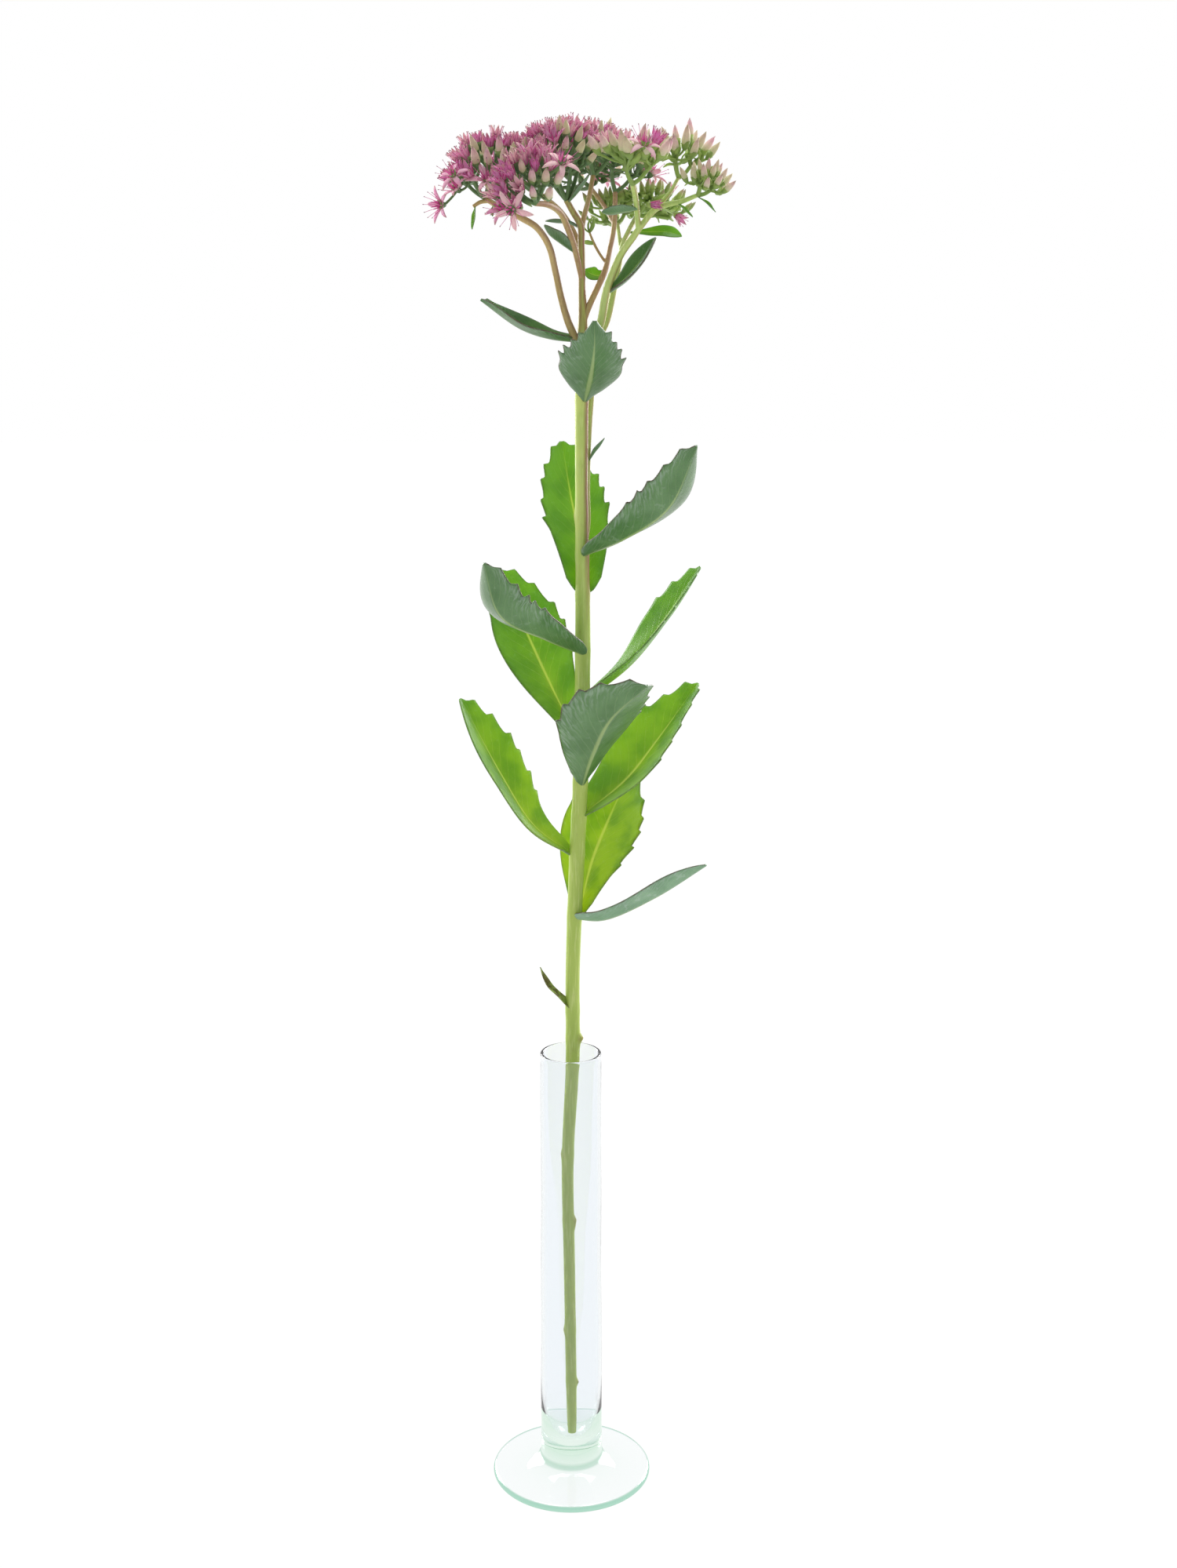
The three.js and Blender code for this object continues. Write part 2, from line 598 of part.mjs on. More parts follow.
// Forks from the foot to a ring of hubs, and from each hub to its florets
function cymeBody(cyme) {
  const form = floretForm;
  const foot = new THREE.Vector3(...cyme.foot);
  const top = new THREE.Vector3(...cyme.top);
  const axis = top.clone().sub(foot).normalize();
  const [right, back] = acrossAxis(axis);
  const stub = [foot, foot.clone().addScaledVector(axis, form.stubLength)];
  const places = floretPlaces(cyme);
  const hubCount = Math.max(3, Math.round(places.length / form.floretsPerHub));
  const hubs = [];
  for (let i = 0; i < hubCount; i++) {
    const angle = 2 * Math.PI * i / hubCount;
    hubs.push(foot.clone().lerp(top, form.hubShare)
      .addScaledVector(right, Math.cos(angle) * cyme.spread * form.hubSpread)
      .addScaledVector(back, Math.sin(angle) * cyme.spread * form.hubSpread));
  }
  const bodies = [limb(stub.map((point) => [...point.toArray(), form.stubRadius]))];
  for (const hub of hubs) {
    const ends = [foot.clone().lerp(stub[1], 0.5), hub.clone().addScaledVector(axis, form.stalkRadius)];
    bodies.push(limb(ends.map((point) => [...point.toArray(), form.stalkRadius]), { sides: 4 }));
  }
  for (const place of places) {
    const hub = hubs.reduce((near, h) => (h.distanceTo(place.base) < near.distanceTo(place.base) ? h : near));
    bodies.push(floretBody(hub, place, cyme.size));
  }
  return wasm.Manifold.union(bodies);
}

// Half of space beyond the plane half way between two clusters, less half the gap
function beyondMiddle(own, other) {
  const from = new THREE.Vector3(...own.top);
  const to = new THREE.Vector3(...other.top);
  const way = to.clone().sub(from).normalize();
  const side = 200;
  const box = new THREE.BoxGeometry(side, side, side);
  box.translate(0, 0, side / 2 - seatGap / 2);
  box.applyQuaternion(new THREE.Quaternion().setFromUnitVectors(up, way));
  const middle = from.lerp(to, 0.5);
  box.translate(middle.x, middle.y, middle.z);
  return solid(box);
}

const part = new THREE.Group();
part.add(meshOf('glass_vase', glassVase(), colours.glass, 0.05));

const stemShape = stemNubs.reduce((body, [x, y, z, radius]) => {
  const nub = new THREE.SphereGeometry(radius, 6, 4).translate(x, y, z);
  return body.add(solid(nub));
}, limb(stemLine, { sides: 8 }));
// A thin slab across the stem parts its halves
const slab = new THREE.BoxGeometry(vase.footRadius, vase.footRadius, seatGap).translate(0, 0, stemJointZ);
const stemHalves = stemShape.subtract(solid(slab)).decompose();
stemHalves.sort((a, b) => a.boundingBox().min[2] - b.boundingBox().min[2]);
part.add(meshOf('lower_stem', stemHalves[0], colours.stem));
part.add(meshOf('upper_stem', stemHalves[1], colours.stem));

// Fattened stems and leaves, which the pieces that follow are cut by
const carriers = [limb(stemLine, { sides: 8, grow: seatGap })];
const cutBy = (body, others) => others.reduce((rest, other) => rest.subtract(other), body);

for (const branch of branches) {
  const body = wasm.Manifold.union(branch.limbs.map((line) => limb(line)));
  part.add(meshOf(branch.name, cutBy(body, carriers), colours.branch));
  carriers.push(wasm.Manifold.union(branch.limbs.map((line) => limb(line, { grow: seatGap }))));
}

const fatLeaves = [];
for (const leaf of [...leaves, ...smallLeaves]) {
  const colour = leaf.name === 'leaf_scrap' ? colours.dryLeaf : colours.leaf;
  part.add(meshOf(leaf.name, cutBy(leafBody(leaf), [...carriers, ...fatLeaves]), colour));
  fatLeaves.push(leafBody(leaf, seatGap));
}

for (const cyme of cymes) {
  const beyond = cymes.filter((other) => other !== cyme).map((other) => beyondMiddle(cyme, other));
  part.add(meshOf(cyme.name, cutBy(cymeBody(cyme), [...beyond, ...carriers, ...fatLeaves]), colours.cyme));
}

export default part;
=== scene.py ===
import math
import random

import bpy
from mathutils import Matrix, Vector


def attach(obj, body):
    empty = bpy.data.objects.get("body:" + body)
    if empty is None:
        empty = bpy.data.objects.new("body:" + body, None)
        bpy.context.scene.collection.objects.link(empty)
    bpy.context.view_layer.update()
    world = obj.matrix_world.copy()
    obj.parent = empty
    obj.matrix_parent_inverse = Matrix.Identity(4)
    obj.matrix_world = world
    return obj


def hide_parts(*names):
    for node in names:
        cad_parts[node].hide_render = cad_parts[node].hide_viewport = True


# A cut stonecrop stem in a clear glass stem vase. Metres, +Z up, -Y is the front.
# Sizes in the dictionaries are millimetres, and mm turns them into metres.
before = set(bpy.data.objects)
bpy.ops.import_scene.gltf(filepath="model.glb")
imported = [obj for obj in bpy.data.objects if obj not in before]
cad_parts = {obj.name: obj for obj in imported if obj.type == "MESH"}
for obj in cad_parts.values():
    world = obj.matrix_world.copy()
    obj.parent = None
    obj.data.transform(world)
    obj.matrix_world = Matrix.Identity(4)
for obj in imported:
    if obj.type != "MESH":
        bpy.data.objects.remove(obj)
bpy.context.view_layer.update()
mm = 0.001
goldenAngle = math.pi * (3 - math.sqrt(5))
luck = random.Random(7)


def linear(hexColour):
    # sRGB hex to the linear values that shaders take
    values = [int(hexColour[i:i + 2], 16) / 255 for i in (1, 3, 5)]
    return [v / 12.92 if v <= 0.04045 else ((v + 0.055) / 1.055) ** 2.4 for v in values] + [1]


def shareOf(value, low, high):
    # how far a value is on its way from low to high, from 0 to 1
    return min(max((value - low) / (high - low), 0), 1)


def deselectAll():
    bpy.ops.object.select_all(action="DESELECT")


def makeActive(piece):
    deselectAll()
    piece.select_set(True)
    bpy.context.view_layer.objects.active = piece


def applyModifier(piece, kind, **settings):
    makeActive(piece)
    bpy.ops.object.modifier_add(type=kind)
    modifier = piece.modifiers[-1]
    for name, value in settings.items():
        setattr(modifier, name, value)
    bpy.ops.object.modifier_apply(modifier=modifier.name)


def joined(name, pieces):
    # several meshes as one, with its place in the mesh
    deselectAll()
    for piece in pieces:
        piece.select_set(True)
    bpy.context.view_layer.objects.active = pieces[0]
    if len(pieces) > 1:
        bpy.ops.object.join()
    whole = bpy.context.object
    bpy.ops.object.transform_apply(location=True, rotation=True, scale=True)
    whole.name = name
    return whole


def finishPiece(piece, materials, slot, *nodes):
    # its finish, its body, its slot, which is not used, and the nodes that it stands for
    makeActive(piece)
    bpy.ops.object.shade_smooth()
    if not piece.data.materials:
        for material in materials:
            piece.data.materials.append(material)
    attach(piece, "root")
    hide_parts(*nodes)


def setAttribute(piece, name, values):
    attribute = piece.data.attributes.get(name) or piece.data.attributes.new(name, "FLOAT", "POINT")
    attribute.data.foreach_set("value", values)


# Materials

def addNode(tree, kind, settings=None, links=None):
    # One node. A setting that is no socket is a property, and stops are the colours of a ramp.
    # A link is another node, an output, a number or a hex colour.
    node = tree.nodes.new(kind)
    for name, value in (settings or {}).items():
        if name == "stops":
            elements = node.color_ramp.elements
            while len(elements) < len(value):
                elements.new(1)
            for element, (place, colour) in zip(elements, value):
                element.position = place
                element.color = linear(colour)
        elif name in node.inputs:
            node.inputs[name].default_value = value
        else:
            setattr(node, name, value)
    for name, source in (links or {}).items():
        if isinstance(source, bpy.types.Node):
            source = next(output for output in source.outputs if output.enabled)
        if isinstance(source, bpy.types.NodeSocket):
            tree.links.new(source, node.inputs[name])
        else:
            node.inputs[name].default_value = linear(source) if isinstance(source, str) else source
    return node


def perMetre(size):
    # a noise's scale, from the size of its spots in millimetres
    return 1 / (size * mm)


def newMaterial(name):
    material = bpy.data.materials.new(name)
    material.use_nodes = True
    material.node_tree.nodes.clear()
    return material, material.node_tree


def fadeMask(tree, *fades):
    # Where something shows. Each fade runs smoothly from start at low to end at high, and they multiply.
    mask = 1.0
    for source, low, high, start, end in fades:
        fade = addNode(tree, "ShaderNodeMapRange", {
            "interpolation_type": "SMOOTHSTEP",
            "From Min": low, "From Max": high, "To Min": start, "To Max": end,
        }, {"Value": source})
        mask = addNode(tree, "ShaderNodeMath", {"operation": "MULTIPLY"}, {0: fade, 1: mask})
    return mask


def painted(tree, colour, *coats):
    # coats over a first colour, each with its mask, its strength and its own colour
    for mask, strength, coat in coats:
        share = addNode(tree, "ShaderNodeMath", {"operation": "MULTIPLY"}, {0: mask, 1: strength})
        colour = addNode(tree, "ShaderNodeMix", {"data_type": "RGBA"}, {0: share, 6: colour, 7: coat})
    return colour


def thinSkin(tree, front, through, normal, look):
    # plant skin that shines softly and lets light through
    skin = addNode(tree, "ShaderNodeBsdfPrincipled", {
        "Roughness": look["roughness"], "IOR": 1.42, "Coat Weight": look["coat"], "Coat Roughness": 0.22,
    }, {"Base Color": front, "Normal": normal})
    glow = addNode(tree, "ShaderNodeBsdfTranslucent", {}, {"Color": through, "Normal": normal})
    mix = addNode(tree, "ShaderNodeMixShader", {}, {0: look["translucency"], 1: skin, 2: glow})
    addNode(tree, "ShaderNodeOutputMaterial", {}, {"Surface": mix})


def fleshyLeaf(name, look):
    # Stonecrop leaf, succulent and waxy: it looks softly glossy, with a pale midrib and faint side veins,
    # and glows yellow-green where light comes through.
    material, tree = newMaterial(name)
    place = addNode(tree, "ShaderNodeTexCoord").outputs["Object"]
    unrolled = addNode(tree, "ShaderNodeUVMap", {"uv_map": "UVMap"})
    blade = addNode(tree, "ShaderNodeSeparateXYZ", {}, {0: unrolled})
    v = blade.outputs[1]
    height = addNode(tree, "ShaderNodeSeparateXYZ", {}, {0: place}).outputs[2]
    patches, freckles, grain = (
        addNode(tree, "ShaderNodeTexNoise", {"Scale": perMetre(look[size]), "Detail": detail}, {
            "Vector": place})
        for size, detail in (("patchSize", 3), ("freckleSize", 2), ("grainSize", 2)))
    # 0 on the midrib and 1 on the margin
    across = blade.outputs[0]
    for operation, number in (("SUBTRACT", 0.5), ("ABSOLUTE", 0), ("MULTIPLY", 2)):
        across = addNode(tree, "ShaderNodeMath", {"operation": operation}, {0: across, 1: number})
    ribWidth = fadeMask(tree, (v, 0, 1, look["ribAtBase"], look["ribAtTip"]))
    ribPlace = addNode(tree, "ShaderNodeMath", {"operation": "DIVIDE"}, {0: across, 1: ribWidth})
    # side veins leave the midrib forwards and curve, and wander with the patches
    wander = addNode(tree, "ShaderNodeMath", {"operation": "MULTIPLY"}, {0: patches, 1: look["veinWander"]})
    curve = addNode(tree, "ShaderNodeMath", {"operation": "POWER"}, {0: across, 1: look["veinCurve"]})
    slant = addNode(tree, "ShaderNodeMath", {"operation": "MULTIPLY_ADD"}, {
        0: curve, 1: -look["veinSlant"], 2: wander})
    phase = addNode(tree, "ShaderNodeMath", {"operation": "MULTIPLY_ADD"}, {0: v, 1: look["veins"], 2: slant})
    veinPlace = phase
    for operation, number in (("FRACT", 0), ("SUBTRACT", 0.5), ("ABSOLUTE", 0)):
        veinPlace = addNode(tree, "ShaderNodeMath", {"operation": operation}, {0: veinPlace, 1: number})
    # the waxy bloom lies in pale streaks, as if brushed along the side veins, and the streaks carry a painted
    # sheen
    strokes = addNode(tree, "ShaderNodeTexNoise", {"Scale": 4, "Detail": 3}, {
        "Vector": addNode(tree, "ShaderNodeCombineXYZ", {}, {0: phase, 1: across})})
    rib = fadeMask(tree, (ribPlace, 0.3, 1.1, 1, 0), (v, 0.55, 0.95, 1, 0.35))
    vein = fadeMask(tree, (veinPlace, 0, 0.09, 1, 0), (across, 0.25, 0.85, 1, 0))
    margin = fadeMask(tree, (across, 0.955, 0.995, 0, 1), (freckles, 0.35, 0.55, 0.45, 1))
    waxAndSheen = fadeMask(tree, (across, 0.3, 0.95, 0, 1), (strokes, 0.42, 0.66, 0, 1))
    mottle = fadeMask(tree, (patches, 0.38, 0.66, 0, 1))
    freckle = fadeMask(tree, (freckles, 0.62, 0.7, 0, 1))
    age = fadeMask(tree, (height, look["lowZ"] * mm, look["highZ"] * mm, 0, 1))
    besideRib = fadeMask(tree, (across, 0, 0.45, 1, 0), (v, 0, 0.6, 0.4, 0))
    front = painted(
        tree, look["green"], (mottle, 1, look["deepGreen"]), (freckle, 0.35, look["bloom"]),
        (vein, look["veinShare"], look["vein"]), (waxAndSheen, look["waxAndSheenShare"], look["waxAndSheenColour"]),
        (rib, look["ribShare"], look["rib"]), (margin, look["marginShare"], look["margin"]))
    through = painted(
        tree, look["lowLight"], (age, 1, look["highLight"]), (mottle, 0.6, look["deepLight"]),
        (vein, 0.35, look["ribLight"]), (besideRib, 1, look["ribLight"]), (rib, 1, look["ribLight"]),
        (margin, look["marginShare"], look["margin"]))
    roughness = addNode(tree, "ShaderNodeMath", {"operation": "MULTIPLY"}, {0: grain, 1: 0.5})
    relief = addNode(tree, "ShaderNodeMath", {"operation": "MULTIPLY_ADD"}, {
        0: vein, 1: look["veinRelief"], 2: roughness})
    bump = addNode(tree, "ShaderNodeBump", {"Strength": look["bump"], "Distance": look["bumpHeight"] * mm}, {
        "Height": relief})
    thinSkin(tree, front, through, bump, look)
    return material


leafLook = {
    "patchSize": 9.091, "freckleSize": 1.613, "grainSize": 0.3846,
    "ribAtBase": 0.085, "ribAtTip": 0.03, "ribShare": 0.75, "marginShare": 0.28,
    "veins": 13, "veinSlant": 3.4, "veinCurve": 0.8, "veinWander": 0.9, "veinShare": 0.14, "veinRelief": -0.5,
    "waxAndSheenShare": 0.06, "waxAndSheenColour": "#cfdcd2", "bump": 0.45, "bumpHeight": 0.25,
    "roughness": 0.42, "translucency": 0.5, "coat": 0.15,
    "green": "#54803a", "deepGreen": "#416c35", "bloom": "#7f9c74", "vein": "#86a656", "rib": "#b4c766",
    "margin": "#6a453f",
    # colours of the light that comes through, for leaves low and high on the stem
    "lowLight": "#e2f84a", "highLight": "#b2de3a", "deepLight": "#9ccc3a", "ribLight": "#f4fba0",
    "lowZ": 220, "highZ": 345,
}
# the underside has a grey waxy bloom and a raised midrib, and stronger pale streaks of bloom with a painted
# sheen
underLook = {
    **leafLook,
    "green": "#64895c", "deepGreen": "#537a4a", "bloom": "#9bb299", "vein": "#8dab80", "rib": "#b0c488",
    "veinShare": 0.2, "veinRelief": 0.55, "waxAndSheenShare": 0.36, "roughness": 0.3, "coat": 0.6, "freckleSize": 2.632,
}
# darker copies for the leaves at the front and the small dark ones: painted shade, a darker green that lets
# less light through
shadeLook = {
    "marginShare": 0.75, "translucency": 0.24,
    "lowLight": "#b4d860", "highLight": "#a4cf5a", "deepLight": "#8cba4c",
}
leafUpper = fleshyLeaf("leafUpperWaxyGreen", leafLook)
leafUnder = fleshyLeaf("leafUnderGreyBloom", underLook)
shadeUpper = fleshyLeaf("leafUpperPaintedShadeWaxyGreen", {
    **leafLook, **shadeLook, "green": "#4c7446", "deepGreen": "#3d6240"})
shadeUnder = fleshyLeaf("leafUnderPaintedShadeGreyBloom", {**underLook, **shadeLook})
# the lowest leaf's underside is painted pale, for its thick waxy bloom and for a painted sheen of light on it
paleSheenUnder = fleshyLeaf("leafUnderPaintedSheenWaxBloom", {
    **underLook, **shadeLook,
    "green": "#93b99a", "deepGreen": "#7fa886", "bloom": "#c9d8d0", "vein": "#b5cdb2"})
# skins for lit leaves, for leaves in painted shade, and for the lowest leaf, whose underside has a painted
# sheen
leafSkins = {
    "lit": [leafUpper, leafUnder],
    "shade": [shadeUpper, shadeUnder],
    "pale": [shadeUpper, paleSheenUnder],
}


def dryScrap():
    # a withered leaf, papery and dull: olive with brown patches
    look = {"patchSize": 2.381, "grainSize": 0.6667, "roughness": 0.65, "translucency": 0.35, "coat": 0}
    material, tree = newMaterial("dryPaperyLeaf")
    place = addNode(tree, "ShaderNodeTexCoord").outputs["Object"]
    patches, grain = (
        addNode(tree, "ShaderNodeTexNoise", {"Scale": perMetre(look[size]), "Detail": 3}, {"Vector": place})
        for size in ("patchSize", "grainSize"))
    colour = painted(tree, "#a3b75e", (fadeMask(tree, (patches, 0.4, 0.62, 0, 1)), 1, "#7d7a46"))
    bump = addNode(tree, "ShaderNodeBump", {"Strength": 0.6, "Distance": 0.3 * mm}, {"Height": grain})
    thinSkin(tree, colour, colour, bump, look)
    return material


def stemSkin(name, look):
    # Satin plant skin: fine streaks along the stem catch the light, one side has a blush, and scars are dark.
    material, tree = newMaterial(name)
    place = addNode(tree, "ShaderNodeTexCoord").outputs["Object"]
    stretch = (1, 1, look["streakStretch"])
    stretched = addNode(tree, "ShaderNodeMapping", {"Scale": stretch}, {"Vector": place})
    streaks, patches, flecks = (
        addNode(tree, "ShaderNodeTexNoise", {"Scale": perMetre(look[size]), "Detail": detail}, {
            "Vector": source})
        for size, detail, source in (
            ("streakWidth", 4, stretched), ("patchSize", 3, place), ("fleckWidth", 2, stretched)))
    blush, scar = (
        addNode(tree, "ShaderNodeAttribute", {"attribute_name": title}).outputs["Fac"]
        for title in ("blush", "scar"))
    height = addNode(tree, "ShaderNodeSeparateXYZ", {}, {0: place}).outputs[2]
    colour = painted(
        tree, look["skin"],
        (fadeMask(tree, (patches, 0.35, 0.65, 0, 1)), 1, look["deep"]),
        (fadeMask(tree, (height, look["lowZ"] * mm, look["highZ"] * mm, 1, 0)), 0.85, look["low"]),
        (fadeMask(tree, (streaks, 0.48, 0.72, 0, 1)), 0.55, look["streak"]),
        (fadeMask(tree, (streaks, 0.25, 0.6, 0.5, 1)), blush, look["blush"]),
        (scar, 0.8, look["scar"]),
        (fadeMask(tree, (flecks, 0.66, 0.74, 0, 1)), 0.3, look["blush"]))
    bump = addNode(tree, "ShaderNodeBump", {"Strength": 0.35, "Distance": 0.25 * mm}, {"Height": streaks})
    skin = addNode(tree, "ShaderNodeBsdfPrincipled", {
        "Roughness": 0.45, "IOR": 1.42, "Subsurface Weight": 0.35, "Subsurface Radius": (0.8, 1.0, 0.3),
        "Subsurface Scale": 1.2 * mm, "Coat Weight": 0.1, "Coat Roughness": 0.35,
    }, {"Base Color": colour, "Normal": bump})
    addNode(tree, "ShaderNodeOutputMaterial", {}, {"Surface": skin})
    return material


stemLook = {
    "streakWidth": 0.7143, "streakStretch": 0.08, "patchSize": 16.67, "fleckWidth": 0.4167,
    "lowZ": 230, "highZ": 400,
    "skin": "#cfdc7a", "deep": "#bcd06c", "low": "#adc458", "streak": "#d8e294", "blush": "#94644a",
    "scar": "#8f7636",
}
stemGreen = stemSkin("stemSatinYellowGreen", stemLook)
branchTan = stemSkin("branchSatinTan", {
    **stemLook, "skin": "#c2a670", "deep": "#b0965f", "streak": "#d0ba80", "blush": "#7d5348",
    "scar": "#7a5a3c"})
branchOlive = stemSkin("branchSatinOlivePurple", {
    **stemLook, "skin": "#bba46c", "deep": "#ae8c64", "streak": "#c8ba80", "blush": "#9c6c58",
    "scar": "#6d5340"})
branchPale = stemSkin("branchSatinPaleGreen", {
    **stemLook, "skin": "#c0d27a", "deep": "#aec46c", "streak": "#d4e094", "blush": "#a58a58",
    "scar": "#9a8a5a"})


def bloomPart(name, look):
    # Soft petal tissue, satin and a little see-through: its colours run along each piece, and each flower
    # has a tint of its own.
    material, tree = newMaterial(name)
    place = addNode(tree, "ShaderNodeTexCoord").outputs["Object"]
    along, tint = (
        addNode(tree, "ShaderNodeAttribute", {"attribute_name": title}).outputs["Fac"]
        for title in ("along", "tint"))
    clouds, veins, grain = (
        addNode(tree, "ShaderNodeTexNoise", {"Scale": perMetre(bloomGrain[size]), "Detail": 2}, {
            "Vector": place})
        for size in ("cloudSize", "veinWidth", "grainSize"))
    # the colours' places wander up and down with the clouds
    wander = bloomGrain["wander"]
    spot = addNode(tree, "ShaderNodeMath", {"operation": "MULTIPLY_ADD"}, {0: clouds, 1: wander, 2: along})
    spot = addNode(tree, "ShaderNodeMath", {"operation": "SUBTRACT"}, {0: spot, 1: wander / 2})
    colour = painted(
        tree, addNode(tree, "ShaderNodeValToRGB", {"stops": look["stops"]}, {0: spot}),
        (tint, look["tintShare"], look["tint"]),
        (fadeMask(tree, (veins, 0.55, 0.7, 0, 1)), 0.3, look["vein"]))
    bump = addNode(tree, "ShaderNodeBump", {"Strength": 0.3, "Distance": 0.15 * mm}, {"Height": grain})
    thinSkin(tree, colour, colour, bump, {**look, "coat": 0})
    return material


bloomGrain = {"cloudSize": 1.111, "veinWidth": 0.4545, "grainSize": 0.3333, "wander": 0.35}
petalPink = bloomPart("petalSoftPink", {
    "stops": [(0.0, "#f2ecd9"), (0.3, "#f0bcdc"), (0.72, "#e793cd"), (0.95, "#cb8f96")],
    "tint": "#f8e6da", "tintShare": 0.78, "vein": "#da78b8", "roughness": 0.5, "translucency": 0.45})
pistilMagenta = bloomPart("pistilMagenta", {
    "stops": [(0.0, "#f2a4d0"), (0.4, "#e866b2"), (1.0, "#d04a96")],
    "tint": "#f2a0cc", "tintShare": 0.5, "vein": "#c64a90", "roughness": 0.42, "translucency": 0.35})
antherDark = bloomPart("antherDarkPurple", {
    "stops": [(0.0, "#a8607e"), (1.0, "#86506a")],
    "tint": "#b08078", "tintShare": 0.5, "vein": "#7a4458", "roughness": 0.7, "translucency": 0.05})
budPale = bloomPart("budPaleBlush", {
    "stops": [(0.0, "#b4c878"), (0.28, "#e2e0bc"), (0.55, "#f0d6cf"), (0.8, "#e2b3bf"), (0.97, "#95706f")],
    "tint": "#d5d9a0", "tintShare": 0.7, "vein": "#cf98aa", "roughness": 0.45, "translucency": 0.35})
budYoung = bloomPart("budYoungGreen", {
    "stops": [(0.0, "#94b45c"), (0.45, "#b4ca6e"), (0.8, "#cfc19c"), (0.97, "#98786f")],
    "tint": "#8aa65c", "tintShare": 0.6, "vein": "#bca98c", "roughness": 0.45, "translucency": 0.35})
calyxDark = bloomPart("calyxFleshyDarkGreen", {
    "stops": [(0.0, "#5d7d50"), (0.5, "#7a9c5c"), (1.0, "#a8bf70")],
    "tint": "#53724e", "tintShare": 0.6, "vein": "#8c7258", "roughness": 0.42, "translucency": 0.2})
calyxLight = bloomPart("calyxFleshyLightGreen", {
    "stops": [(0.0, "#9cb866"), (0.5, "#b2cc6c"), (1.0, "#c2d678")],
    "tint": "#84a456", "tintShare": 0.6, "vein": "#b0a868", "roughness": 0.42, "translucency": 0.35})


def vaseGlass():
    # Clear blown glass with the green cast of bottle glass: it is nearly unseen face on and green along its
    # edges, and its slight waves bend what stands behind it. At the foot's rim and at the joint below the
    # tube a green is painted on as well: the glass's green seen through its thickness, with painted shade of
    # the darker room seen through the glass.
    look = {
        "clear": "#f7f9fc", "edgeGreenAndShade": "#74b899", "cast": "#81d69c", "castDensity": 12,
        "waveSize": 11.11, "waveStretch": 0.35, "rim": (28.8, 29.6),
        # the joint below the tube, from its inner to its outer side, and the height where its green ends
        "jointInside": (11.4, 11.6), "jointOutside": (12.2, 13), "jointTop": (8, 10), "jointShare": 0.7,
    }
    material, tree = newMaterial("blownClearGlass")
    place = addNode(tree, "ShaderNodeTexCoord").outputs["Object"]
    tall = addNode(tree, "ShaderNodeMapping", {"Scale": (1, 1, look["waveStretch"])}, {"Vector": place})
    waves = addNode(tree, "ShaderNodeTexNoise", {"Scale": perMetre(look["waveSize"]), "Detail": 2}, {
        "Vector": tall})
    bump = addNode(tree, "ShaderNodeBump", {"Strength": 0.06, "Distance": 0.3 * mm}, {"Height": waves})
    height = addNode(tree, "ShaderNodeSeparateXYZ", {}, {0: place}).outputs[2]
    flat = addNode(tree, "ShaderNodeMapping", {"Scale": (1, 1, 0)}, {"Vector": place})
    radius = addNode(tree, "ShaderNodeVectorMath", {"operation": "LENGTH"}, {0: flat})
    rim, inside, outside, top = (
        [value * mm for value in look[title]] for title in ("rim", "jointInside", "jointOutside", "jointTop"))
    # painted green and painted shade at the joint, fading out above it, and at the foot's rim
    joint = fadeMask(
        tree, (radius, *inside, 0, 1), (radius, *outside, 1, 0), (height, *top, look["jointShare"], 0))
    edges = addNode(tree, "ShaderNodeMath", {"operation": "MAXIMUM"}, {
        0: fadeMask(tree, (radius, *rim, 0, 1)), 1: joint})
    glass = addNode(tree, "ShaderNodeBsdfPrincipled", {
        "Roughness": 0.01, "IOR": 1.5, "Transmission Weight": 1,
    }, {"Base Color": painted(tree, look["clear"], (edges, 1, look["edgeGreenAndShade"])), "Normal": bump})
    cast = addNode(tree, "ShaderNodeVolumeAbsorption", {
        "Color": linear(look["cast"]), "Density": look["castDensity"]})
    addNode(tree, "ShaderNodeOutputMaterial", {}, {"Surface": glass, "Volume": cast})
    return material


print("materials made")

# Lines and frames

def smoothLine(points, count):
    # a centripetal curve through the points, with count samples to each stretch
    ends = [points[0] * 2 - points[1], *points, points[-1] * 2 - points[-2]]
    samples = []
    for a, b, c, d in zip(ends, ends[1:], ends[2:], ends[3:]):
        before, here, after = (max((q - p).length, 1e-9) ** 0.5 for p, q in ((a, b), (b, c), (c, d)))
        leave = ((b - a) / before - (c - a) / (before + here) + (c - b) / here) * here
        reach = ((c - b) / here - (d - b) / (here + after) + (d - c) / after) * here
        for i in range(count):
            s = i / count
            samples.append(b * (2 * s ** 3 - 3 * s ** 2 + 1) + leave * (s ** 3 - 2 * s ** 2 + s)
                           + c * (3 * s ** 2 - 2 * s ** 3) + reach * (s ** 3 - s ** 2))
    samples.append(points[-1].copy())
    return samples


def spotsAlong(samples, shares):
    # the point and the direction at each share of the line's length
    lengths = [0]
    for p, q in zip(samples, samples[1:]):
        lengths.append(lengths[-1] + (q - p).length)
    spots, index = [], 0
    for share in shares:
        while index < len(samples) - 2 and lengths[index + 1] < share * lengths[-1]:
            index += 1
        step = samples[index + 1] - samples[index]
        part = (share * lengths[-1] - lengths[index]) / max(step.length, 1e-9)
        low, high = max(index - 1, 0), min(index + 2, len(samples) - 1)
        spots.append((samples[index] + step * part, (samples[high] - samples[low]).normalized()))
    return spots


def acrossAxis(axis):
    right = (Vector((1, 0, 0)) - axis * axis.x).normalized()
    return right, axis.cross(right)


